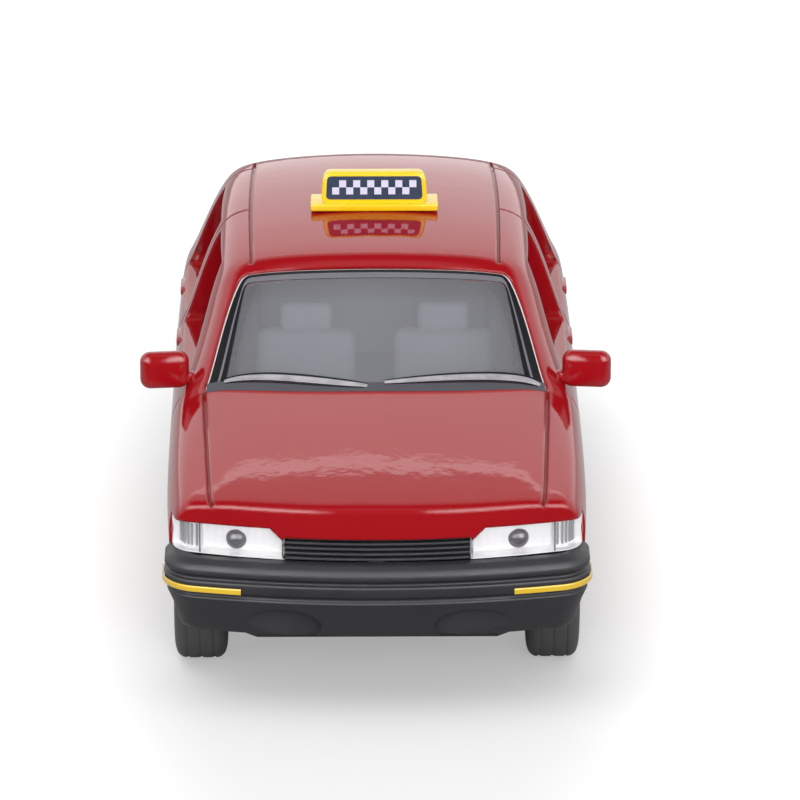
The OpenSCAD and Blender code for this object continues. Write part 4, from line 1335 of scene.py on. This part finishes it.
@dataclass
class FrontEnd:
    """The bumper, grille, headlights and indicator strips of the nose."""

    low: float = 4.7
    thick: float = 1.3
    bow: float = 1.9
    corner_r: float = 2.4
    groove_h: float = 0.2
    groove_d: float = 0.28
    lean: float = 0.95
    scoop_x: float = 5.6
    indicator_x: float = 8.0
    slats: int = 4
    lamp_low: float = 9.43
    lens_t: float = 0.5
    lens_gap: float = 0.06
    front_ribs: tuple[float, float] = (0.02, 0.5)
    corner_ribs: tuple[float, float] = (0.1, 0.34)
    front_bowl: float = 0.3
    corner_bowl: float = 0.2
    tray_t: float = 0.35
    divide_x: float = 10.5
    end_wall: float = 0.4
    flute_step: float = 0.4
    flute_w: float = 0.12
    bulb_x: float = 8.3

    @property
    def lower_groove(self) -> float:
        """The height of the lower groove's floor."""
        return LAYOUT.bumper_top - 2.15

    @property
    def lamp_h(self) -> float:
        """The height of the lamps."""
        return LAYOUT.lamp_top - self.lamp_low

    @property
    def lamp_mid(self) -> float:
        """The middle height of the lamps."""
        return self.lamp_low + self.lamp_h / 2

    def section(self) -> list[np.ndarray]:
        """The bumper's section with its ribs and grooves.

        Returns:
            Points of out and height.
        """
        top = LAYOUT.bumper_top
        a, b = top - 1.13, self.lower_groove
        d, h, t, lean = self.groove_d, self.groove_h, self.thick, self.lean
        return fillet([
            [-t - 0.3, self.low + 0.3], [-lean - 0.15, self.low], [-lean + 0.1, self.low + 0.35],
            [-0.5 * lean, self.low + 1.6], [-0.12, b - 0.15], [-d - 0.04, b], [-d, b + h],
            [-0.02, b + h + 0.1], [0, a - 0.1], [-d + 0.02, a], [-d + 0.04, a + h], [0, a + h + 0.1],
            [-0.02, top - 0.5], [-0.22, top - 0.25], [-0.65, top], [-t, top]], 0.12, 5)

    def build(self) -> None:
        """Makes the pieces of the nose."""
        path = end_path(SKIN.half, 0, self.bow, self.corner_r, LAYOUT.front_reach)
        bumper = sweep("front_bumper_moulding", whole(path), self.section())
        for x in (-self.scoop_x, self.scoop_x):
            scoop = drum("scoop_cut", 1, 2, np.zeros(3), (90, 0, 0))
            scoop.scale = (2.3, 1, 1.2)
            scoop.location = [c * MM for c in at(x, self.lean - 0.5, self.low + 0.7)]
            cut(bumper, place(scoop))
        settle(bumper, BLACK_ABS, nodes=["front_bumper"])
        self.grille()
        for side in Side:
            self.indicator(side, path)
            self.headlight(side)

    def indicator(self, side: Side, path: Path) -> None:
        """An amber strip over the lower groove, round the corner of the bumper.

        Args:
            side: The side of the car.
            path: The bumper's half path.
        """
        z = self.lower_groove + self.groove_h + 0.06
        section = fillet([[0.03, z], [0.14, z + 0.06], [0.13, z + 0.36], [0.04, z + 0.42]], 0.08)
        strip = sweep(f"indicator_strip_{side.label}", sided(outer(path, self.indicator_x), side), section)
        settle(strip, AMBER, nodes=[f"indicator_{side.label}"])

    def grille(self) -> None:
        """Black slats between the headlights."""
        wide, top, low = LAYOUT.grille_x, LAYOUT.grille_top, LAYOUT.sill
        path = [bowed(x, SKIN.half, SKIN.nose_s + 0.25, SKIN.nose_bow) for x in np.linspace(-wide, wide, 41)]
        step = (top - low) / self.slats
        section = [[-0.9, top], [-0.9, low]]
        for i in range(self.slats):
            z, out = low + i * step, 0.16 - 0.03 * i
            section += [[out - inward, z + step * share] for inward, share in (
                (0.05, 0), (0, 0.15), (0.02, 0.5), (0.1, 0.6), (0.34, 0.68), (0.34, 0.95))]
        section.append([0, top])
        settle(sweep("grille_slats", path, section), BLACK_ABS, nodes=["grille"])

    def lens_section(self, wave: float) -> list[list[float]]:
        """The lens's section at one point of its line.

        Args:
            wave: How high its moulded ribs stand there.

        Returns:
            Points of out and height.
        """
        sole, top, back = self.lamp_low + 0.08, LAYOUT.lamp_top, -self.lens_t
        return [[back, sole], [-0.1, sole], [-wave * 0.2, sole + 0.12], [0, self.lamp_mid],
                [-0.06, top - 0.12], [-0.18, top], [back, top], [back + wave, top - 0.3],
                [back + wave, sole + 0.25]]

    def tray_section(self, deep: float, floor: float, back: float) -> list[list[float]]:
        """The silvered tray's section at one point of its line.

        Args:
            deep: Where its outside lies.
            floor: Where its floor lies.
            back: Where it meets the back of the lens.

        Returns:
            Points of out and height.
        """
        low, top = self.lamp_low, LAYOUT.lamp_top
        return [[deep, low], [-0.08, low], [-0.08, low + 0.06], [back, low + 0.06], [floor, low + 0.2],
                [floor - 0.08, self.lamp_mid], [floor, top - 0.3], [back, top - 0.16], [back, top - 0.1],
                [deep, top - 0.1]]

    def headlight(self, side: Side) -> None:
        """A lens over a silvered tray, with grey bars of painted shade for the flutes outside the divider, and
        the bulb.

        Args:
            side: The side of the car.
        """
        path = finer(sided(outer(LAYOUT.lamp_line(), LAYOUT.grille_x - 0.6), side), 8)
        end_s = max(p[1] for p, _ in path) - self.end_wall
        lens_rings, tray_rings, flutes = [], [], []
        length, flute_start, last = 0.0, 0.0, path[0][0]
        for p, n in path:
            length += float(np.linalg.norm(p - last))
            last = p
            corner, at_end = abs(p[0]) > self.divide_x, p[1] > end_s
            high, pitch = self.corner_ribs if corner else self.front_ribs
            wave = high * abs(math.sin(math.pi * length / pitch))
            back = -self.lens_t - self.lens_gap
            floor = back - (self.corner_bowl if corner else self.front_bowl) + wave * 1.2
            deep = floor - self.tray_t
            if at_end:
                back = floor = -self.lens_gap
            else:
                lens_rings.append(raised(p, n, self.lens_section(wave)))
            tray_rings.append(raised(p, n, self.tray_section(deep, floor, back)))
            if not corner:
                flute_start = length
            elif not at_end and length > (len(flutes) + 1) * self.flute_step + flute_start:
                spot = p + n * (back - 0.02)
                flutes.append(block("flute", (self.flute_w, self.flute_w, self.lamp_h - 0.5),
                                    at(spot[0], spot[1], self.lamp_mid), 0.03, 2))
        for word, rings, finish, slot, node in (
                ("glass", lens_rings, LAMP_CLEAR, "lamp_clear", "lens"),
                ("tray", tray_rings, SILVERED, "lamp_silver", "reflector")):
            piece = LAYOUT.slanted(loft(f"headlight_{word}_{side.label}", np.array(rings)), side)
            settle(piece, finish, nodes=[f"headlight_{node}_{side.label}"])
        # The grey bars are painted shade for the flutes of the clear lens.
        settle(joined(f"lamp_flutes_{side.label}", flutes), LAMP_FLUTE_SHADE)
        self.bulb(side)

    def bulb(self, side: Side) -> None:
        """The domed cap of the bulb and the divider beside the flutes, behind the lens.

        Args:
            side: The side of the car.
        """
        k = side.value
        centre = at(k * self.bulb_x, SKIN.nose_at(self.bulb_x) + self.lens_t + 0.2, self.lamp_mid - 0.16)
        profile = [[0.0, -0.12], [0.3, -0.06], [0.52, 0.12], [0.66, 0.42], [0.66, 0.6], [0.0, 0.6]]
        cap = revolve(f"bulb_cap_{side.label}", fillet(profile, 0.12), centre, 48, axis=1)
        settle(cap, LAMP_BULB)
        middle = at(k * self.divide_x, SKIN.nose_at(self.divide_x) + 0.36, self.lamp_mid - 0.02)
        divider = block(f"lamp_divider_{side.label}", (0.07, 0.5, self.lamp_h - 0.2), middle, 0)
        settle(divider, LAMP_BULB)


@dataclass
class RearEnd:
    """The rear bumper and the tail lights."""

    corner_r: float = 2.0
    seam: float = 0.02
    lamps: tuple[tuple[str, Finish, str], ...] = (
        ("stop", TAIL_RED, "tail_red"), ("reverse", TAIL_WHITE, "lamp_clear"), ("signal", AMBER, "amber"))

    def build(self) -> None:
        """Makes the pieces of the tail."""
        path = rearward(end_path(SKIN.half, 0, SKIN.tail_bow, self.corner_r, LAYOUT.rear_reach))
        bumper = sweep("rear_bumper_moulding", whole(path), FrontEnd().section())
        settle(bumper, BLACK_ABS, nodes=["rear_bumper"])
        third = LAYOUT.tail_h / len(self.lamps)
        for side in Side:
            line = sided(outer(LAYOUT.tail_line(), LAYOUT.tail_x), side)
            for i, (word, finish, slot) in enumerate(self.lamps):
                z0, z1 = LAYOUT.sill + i * third + self.seam, LAYOUT.sill + (i + 1) * third - self.seam
                section = fillet([[-1, z0], [0, z0], [-0.03, z1], [-1, z1]], 0.1)
                piece = sweep(f"tail_lamp_{word}_{side.label}", line, section)
                settle(piece, finish, nodes=[f"tail_light_{side.label}"] if i == 0 else [])


@dataclass
class Mirrors:
    """Door mirrors: a rounded housing on a short foot, with a silvered face behind."""

    s: float = 19.5
    z: float = 15.28
    x0: float = 11.4
    w: float = 3.25
    h: float = 2.3
    depth: float = 1.3
    turn: float = 6.0

    def build(self) -> None:
        """Makes both mirrors."""
        for side in Side:
            k = side.value
            turn = (0, 0, -k * self.turn)
            mid = at(k * (self.x0 + self.w / 2 - 0.1), self.s - 0.15, self.z)
            shell = block(f"mirror_{side.label}_housing", (self.w - 0.25, self.depth, self.h), mid,
                          0.62, 7, turn)
            foot = block("foot", (1.3, 0.8, 0.7), at(k * (self.x0 + 0.05), self.s, self.z - 0.55), 0.2, 3)
            settle(joined(shell.name, [shell, foot]), ENAMEL, nodes=[f"mirror_{side.label}"])
            face = block(f"mirror_{side.label}_face", (self.w - 0.9, 0.1, self.h - 0.7),
                         mid + [0, self.depth / 2 - 0.01, 0], 0.04, 2, turn)
            settle(face, MIRROR)


@dataclass
class RoofSign:
    """The yellow sign box on its flat foot, with a navy inlay on both faces."""

    s: float = 32.6
    w: float = 6.7
    h: float = 2.4
    top_d: float = 0.9
    low_d: float = 1.6
    foot_w: float = 8.0
    foot_d: float = 2.4
    foot_t: float = 0.45
    inlay_t: float = 0.25
    inlay_out: float = 0.04
    sunk: float = 0.06

    @property
    def seat(self) -> float:
        """The height of the roof under the sign."""
        return float(SKIN.point(SKIN.row_at(self.s), SKIN.middle)[2]) + 0.02

    @property
    def box_h(self) -> float:
        """The height of the box over its foot."""
        return self.h - self.foot_t

    def face(self, k: int, outline: Sequence[np.ndarray], out: float = 0.0) -> list[np.ndarray]:
        """An outline laid on a sloping face of the box.

        Args:
            k: -1 for the front face, 1 for the rear face.
            outline: Points across and up the face.
            out: How far it stands out of the face.

        Returns:
            The points.
        """
        base = self.seat + self.foot_t - self.sunk
        return [at(x, self.s + k * (mix(self.low_d, self.top_d, z / self.box_h) / 2 + out), base + z)
                for x, z in outline]

    def build(self) -> None:
        """Makes the housing and its inlays."""
        half, seat, box_h = self.w / 2, self.seat, self.box_h
        foot = block("foot", (self.foot_w, self.foot_d, self.foot_t), at(0, self.s, seat + self.foot_t / 2),
                     0.12)
        outline = fillet([[-half, 0], [half, 0], [half - 0.15, box_h], [-half + 0.15, box_h]], 0.55, 8)
        box = loft("box", np.array([self.face(k, outline) for k in (-1, 1)]))
        modify(box, "BEVEL", width=0.12 * MM, segments=3, limit_method="ANGLE", angle_limit=math.radians(50))
        peg = drum("peg", 0.7, SKIN.wall + 0.6, at(0, self.s, seat - 0.3), vertices=32)
        housing = joined("sign_box", [foot, box, peg])
        settle(housing, SIGN_YELLOW, nodes=["sign_housing"])
        inner = fillet([[-half + 0.32, 0.28], [half - 0.32, 0.28], [half - 0.4, box_h - 0.24],
                        [-half + 0.4, box_h - 0.24]], 0.3, 6)
        for word, k in (("front", -1), ("rear", 1)):
            rings = [self.face(k, inner, out) for out in (self.inlay_out - self.inlay_t, self.inlay_out)]
            inlay = loft(f"sign_inlay_{word}", np.array(rings))
            settle(inlay, SIGN_NAVY, nodes=[f"sign_panel_{word}"])


@dataclass
class Cabin:
    """The moulded seats, dashboard and steering wheel."""

    floor: float = 6.4
    seat_w: float = 6.6
    seat_s: float = 26.2
    bench_s: float = 39.2
    lean: float = 14.0
    dash_s: float = 19.1
    dash_w: float = 18.8
    wheel_r: float = 2.2
    wheel_tilt: float = -62.0
    rim_r: float = 0.22
    floor_size: tuple[float, float, float] = (18.8, 25.0, 0.9)
    floor_s: float = 29.4
    wheel_box: tuple[float, float, float] = (1.5, 6.4, 6.6)
    wheel_box_at: tuple[float, float, float] = (8.2, 42.6, 8.7)

    @property
    def seat_x(self) -> float:
        """How far a front seat lies from the middle."""
        return self.seat_w / 2 + 1

    def build(self) -> None:
        """Makes the cabin's pieces."""
        parts = [block("floor", self.floor_size, at(0, self.floor_s, self.floor - 0.45), 0.15, 2)]
        x, s, z = self.wheel_box_at
        for side in (-1, 1):
            parts += self.seat(side * self.seat_x, self.seat_s, self.seat_w, 7.0, True)
            parts.append(block("wheel_box", self.wheel_box, at(side * x, s, z), 0.3, 3))
        parts += self.seat(0, self.bench_s, 2 * self.seat_w + 2, 6.4, False)
        settle(joined("seat_moulding", parts), SEAT_GREY, nodes=["seat_tub"])
        dash = block("dash_moulding", (self.dash_w, 2.6, 3.6), at(0, self.dash_s - 0.3, SKIN.belt - 2.3), 0.5)
        lower = block("lower", (self.dash_w - 1, 1.4, 4.4), at(0, self.dash_s - 0.4, self.floor + 2.2), 0.2, 2)
        hood = block("hood", (5.0, 1.8, 0.8), at(self.seat_x, self.dash_s - 0.1, SKIN.belt - 0.5), 0.25, 3)
        settle(joined("dash_moulding", [dash, lower, hood]), DASH_GREY, nodes=["dashboard"])
        self.steering()

    def seat(self, x: float, s: float, w: float, back_h: float, rest: bool) -> list[Obj]:
        """A cushion with its back and head rest.

        Args:
            x: Its middle across the car.
            s: Its middle along the car.
            w: Its width.
            back_h: The height of its back.
            rest: Whether it has a head rest.

        Returns:
            The blocks.
        """
        parts = [block("cushion", (w, 5.8, 2.6), at(x, s, self.floor + 1.2), 0.7, 5)]
        leaned = [((w - 0.3, 1.7, back_h), back_h / 2, 0.7)]
        if rest:
            leaned.append(((w * 0.5, 1.3, 1.9), back_h + 0.7, 0.5))
        slope = math.radians(self.lean)
        for size, up, r in leaned:
            middle = at(x, s + 2.9 + up * math.sin(slope), self.floor + 1.0 + up * math.cos(slope))
            parts.append(block("back", size, middle, r, 5, (-self.lean, 0, 0)))
        return parts

    def steering(self) -> None:
        """The steering wheel with its spokes and column."""
        hub = at(self.seat_x, self.dash_s + 1.3, SKIN.belt - 1.9)
        tilt = math.radians(self.wheel_tilt)
        axis, across = np.array([0, -math.sin(tilt), math.cos(tilt)]), np.array([1.0, 0, 0])
        up = np.cross(axis, across)
        centre, ring_r = hub + 1.1 * axis, self.wheel_r - self.rim_r
        a = np.linspace(0, 2 * math.pi, 65)
        rim = centre + ring_r * (np.cos(a)[:, None] * across + np.sin(a)[:, None] * up)
        parts = [tube("rim", rim, [self.rim_r] * len(rim), 12)]
        for turn in np.radians((90, 210, 330)):
            way = math.cos(turn) * across + math.sin(turn) * up
            spoke = np.array([centre + way * d for d in np.linspace(0.2, ring_r, 6)])
            parts.append(tube("spoke", spoke, [0.2, 0.19, 0.18, 0.17, 0.16, 0.16], 10))
        column = np.array([hub + axis * d for d in (0.0, 0.5, 0.9, 1.25)])
        parts.append(tube("column", column, [0.32, 0.32, 0.55, 0.5]))
        settle(joined("steering_moulding", parts), DASH_GREY, nodes=["steering_wheel"])


@dataclass
class Wheelset:
    """A pair of wheels with their tyres on one axle."""

    end: str
    body: Body
    s: float
    r: float = LAYOUT.tyre_r
    w: float = 3.2
    x_in: float = 9.0
    rim_r: float = 2.9
    hub_r: float = 1.1
    axle_r: float = 0.6
    holes: int = 10
    hole_r: float = 0.27
    hole_ring_r: float = 2.05

    def build(self) -> None:
        """Makes the rims and tyres of both sides, and dresses the axle."""
        for side in Side:
            k = side.value
            centre = at(k * self.x_in, self.s, self.r)
            tyre, rim = (np.array(profile) * [1, k] for profile in (self.tyre_profile(), self.rim_profile()))
            made = revolve(f"tyre_moulding_{self.end}_{side.label}", tyre, centre, 120)
            settle(made, RUBBER, self.body, [f"tyre_{self.end}_{side.label}"])
            made = revolve(f"rim_{self.end}_{side.label}", rim, centre, 120)
            for a in np.linspace(0, 2 * math.pi, self.holes, endpoint=False):
                mid = centre + [k * 2, self.hole_ring_r * math.cos(a), self.hole_ring_r * math.sin(a)]
                cut(made, drum("hole", self.hole_r, 3, mid, (0, 90, 0), 24))
            settle(made, RIM_SILVER, self.body, [f"wheel_{self.end}_{side.label}"])
        paint(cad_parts[f"{self.end}_axle"], STEEL)

    def tyre_profile(self) -> list[np.ndarray]:
        """The tyre's section with round shoulders and three shallow grooves.

        Returns:
            Points of radius and across.
        """
        r, w, rim = self.r, self.w, self.rim_r
        points = [[rim + 0.01, 0.15], [rim + 0.5, 0.0], [r - 0.7, 0.04], [r - 0.3, 0.16], [r - 0.06, 0.42]]
        for x in (w / 4, w / 2, w * 3 / 4):
            points += [[r, x - 0.2], [r, x - 0.1], [r - 0.06, x - 0.05], [r - 0.06, x + 0.05], [r, x + 0.1]]
        points += [[r - 0.06, w - 0.42], [r - 0.3, w - 0.16], [r - 0.7, w - 0.04], [r - 1.0, w],
                   [rim + 0.35, w], [rim + 0.2, w - 0.12], [rim + 0.01, w - 0.15]]
        return fillet(points, 0.16, 4)

    def rim_profile(self) -> list[np.ndarray]:
        """The rim's section: lip, dished face and a raised hub.

        Returns:
            Points of radius and across.
        """
        r, w, hub, axle = self.rim_r, self.w, self.hub_r, self.axle_r
        return fillet([
            [axle + 0.02, 0.6], [hub, 0.6], [hub + 0.2, 1.5], [r - 0.35, 1.3], [r - 0.35, 0.15], [r, 0.15],
            [r, w - 0.15], [r - 0.12, w - 0.08], [r - 0.3, w - 0.15], [r - 0.5, 2.0], [r - 0.8, 2.15],
            [hub + 0.3, 2.35], [hub, w - 0.4], [axle + 0.3, w - 0.34], [axle + 0.02, w - 0.4]], 0.08, 3)


@dataclass
class Underside:
    """The base plate and its screws, which keep the part's own meshes."""

    finishes: tuple[tuple[str, Finish], ...] = (("chassis_base", BLACK_ABS), ("base_screws", STEEL))

    def build(self) -> None:
        """Dresses the base plate and the screws."""
        for node, finish in self.finishes:
            paint(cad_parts[node], finish)


@dataclass(frozen=True)
class Softbox:
    """A square soft light that no reflection shows: its place, its aim, its side and its power."""

    name: str
    spot: tuple[float, float, float]
    aim: tuple[float, float, float]
    size: float
    watts: float

    def build(self) -> None:
        """Hangs the light."""
        data = bpy.data.lights.new(self.name, "AREA")
        data.size = self.size * MM
        data.energy = self.watts
        obj = bpy.data.objects.new(self.name, data)
        obj.visible_glossy = False
        bpy.context.scene.collection.objects.link(obj)
        obj.location = [c * MM for c in self.spot]
        obj.rotation_euler = (Vector(self.aim) - Vector(self.spot)).to_track_quat("-Z", "Y").to_euler()


@dataclass
class Studio:
    """The pale floor, soft light and the camera."""

    pitch: float = 19.0
    yaw: float = -0.55
    eye: tuple[float, float, float] = (-2.16, -389.5, 144.3)
    lens: float = 295.2
    lamps: tuple[Softbox, ...] = (
        Softbox("key_softbox", (-120, -120, 640), (0, 0, 8), 520, 1.45),
        Softbox("front_fill", (60, -560, 170), (0, 0, 10), 300, 1.9))
    sky: float = 0.62
    peak: float = 2.2
    front: float = 0.3
    front_to_back: tuple[float, float] = (-0.7, 0.1)
    box_level: float = 7.0
    box_aside: tuple[float, float] = (0.13, 0.21)
    box_ahead: tuple[float, float] = (-0.2, -0.4)
    box_up: tuple[float, float] = (0.12, 0.3)
    paper: float = 0.58
    dark_paper_in_reflections: float = 0.08
    dark_reflection_span: tuple[float, float] = (-0.05, -0.02)
    # Inside this oval round the car the floor glows less for the eye: painted soft shade round the car.
    oval: tuple[float, float, float] = (2.2, 0.5, 1.0)
    shade_oval_span: tuple[float, float] = (0.024, 0.056)
    glow: tuple[float, float] = (0.33, 0.72)
    tent: tuple[tuple[float, float], ...] = (
        (0.0, 0.62), (0.33, 0.6), (0.5, 0.6), (0.58, 0.63), (0.626, 0.64), (0.633, 1.05), (0.643, 1.05),
        (0.65, 0.42), (0.73, 0.36), (0.8, 0.02), (0.94, 0.02), (0.985, 0.25))

    def build(self) -> None:
        """Sets the stage."""
        scene = bpy.context.scene
        scene.view_settings.view_transform = "Standard"
        self.world(scene)
        self.floor()
        for lamp in self.lamps:
            lamp.build()
        view = bpy.data.cameras.new("view")
        view.lens = self.lens
        view.sensor_width = 36
        view.clip_start = 0.01
        camera = bpy.data.objects.new("view", view)
        scene.collection.objects.link(camera)
        camera.location = [c * MM for c in self.eye]
        pitch, yaw = math.radians(self.pitch), math.radians(self.yaw)
        ahead = Vector((-math.sin(yaw) * math.cos(pitch), math.cos(yaw) * math.cos(pitch), -math.sin(pitch)))
        camera.rotation_euler = ahead.to_track_quat("-Z", "Y").to_euler()
        scene.camera = camera

    def world(self, scene: bpy.types.Scene) -> None:
        """A white surround for the eye and a softer sky as light; reflections show a tent and side boxes.

        Args:
            scene: The scene.
        """
        made = bpy.data.worlds.new("surround")
        scene.world = made
        made.use_nodes = True
        tree = made.node_tree
        tree.nodes.clear()
        direction = add_node(tree, "TexCoord").outputs["Generated"]
        way = add_node(tree, "SeparateXYZ", None, {"Vector": direction}).outputs
        wall = add_node(tree, "ValToRGB", None, {"Fac": way["Z"]})
        self.stops(wall.color_ramp)
        behind = spread(tree, way["Y"], self.front_to_back, (self.front, self.peak))
        box: Any = self.box_level
        aside = calc(tree, "ABSOLUTE", way["X"])
        for value, span in ((aside, self.box_aside), (way["Y"], self.box_ahead), (way["Z"], self.box_up)):
            box = calc(tree, "MULTIPLY", box, spread(tree, value, span))
        mirrored = calc(tree, "ADD", calc(tree, "MULTIPLY", wall.outputs["Color"], behind), box)
        ray = add_node(tree, "LightPath").outputs
        seen = calc(tree, "MAXIMUM", ray["Is Camera Ray"], ray["Is Transmission Ray"])
        level = blend(tree, seen, blend(tree, ray["Is Glossy Ray"], self.sky, mirrored), 1.0)
        light = add_node(tree, "Background", None, {"Color": (1, 1, 1, 1), "Strength": level})
        add_node(tree, "OutputWorld", None, {"Surface": light.outputs["Background"]})

    def stops(self, ramp: bpy.types.ColorRamp) -> None:
        """Sets how bright the tent is from the horizon up to the top light, as shares of its peak.

        Args:
            ramp: The ramp over the height of a direction.
        """
        for i, (place_up, level) in enumerate(self.tent):
            stop = ramp.elements[i] if i < 2 else ramp.elements.new(place_up)
            stop.position = place_up
            stop.color = (level, level, level, 1)

    def floor(self) -> None:
        """A wide white sheet that keeps its rendered shadow and glows for the eye, less inside an oval round
        the car, which paints soft shade there; ahead of the car it shows dark in reflections, a painted
        reflection.
        """
        alone()
        bpy.ops.mesh.primitive_plane_add(size=6)
        sheet = bpy.context.object
        sheet.name = "floor"
        made = bpy.data.materials.new("white_paper")
        made.use_nodes = True
        tree = made.node_tree
        tree.nodes.clear()
        ray = add_node(tree, "LightPath").outputs
        spot = add_node(tree, "TexCoord").outputs["Object"]
        oval = add_node(tree, "VectorMath", {"operation": "MULTIPLY"}, {0: spot, 1: self.oval})
        away = add_node(tree, "VectorMath", {"operation": "LENGTH"}, {0: oval.outputs["Vector"]})
        # Less glow near the car: painted shade on top of the rendered shadow.
        pale = spread(tree, away.outputs["Value"], self.shade_oval_span, self.glow)
        lift = calc(tree, "MULTIPLY", ray["Is Camera Ray"], pale)
        glow = add_node(tree, "Emission", None, {"Color": (1, 1, 1, 1), "Strength": lift})
        # Painted reflection: glossy rays see the sheet ahead of the car as dark paper, while the eye and the
        # lights see it white.
        ahead = add_node(tree, "SeparateXYZ", None, {"Vector": spot})
        near = spread(tree, ahead.outputs["Y"], self.dark_reflection_span, (self.dark_paper_in_reflections, self.paper))
        tone = blend(tree, ray["Is Glossy Ray"], self.paper, near)
        paper = add_node(tree, "BsdfDiffuse", None, {"Color": tone})
        both = add_node(tree, "AddShader", None, {0: glow.outputs[0], 1: paper.outputs[0]})
        add_node(tree, "OutputMaterial", None, {"Surface": both.outputs[0]})
        sheet.data.materials.append(made)


def main() -> None:
    """Builds the pieces in order."""
    logging.basicConfig(level=logging.INFO, format="%(message)s")
    rear_s = LAYOUT.axle_s + LAYOUT.wheelbase
    parts = [Studio(), Casting(), WINDSCREEN, REAR_WINDOW, SideGlass(), Wipers(), FrontEnd(), RearEnd(),
             Mirrors(), RoofSign(), Cabin(), Wheelset("front", Body.FRONT, LAYOUT.axle_s),
             Wheelset("rear", Body.REAR, rear_s), Underside()]
    for part in parts:
        part.build()
        LOG.info("built %s", type(part).__name__)


if __name__ == "__main__":
    main()
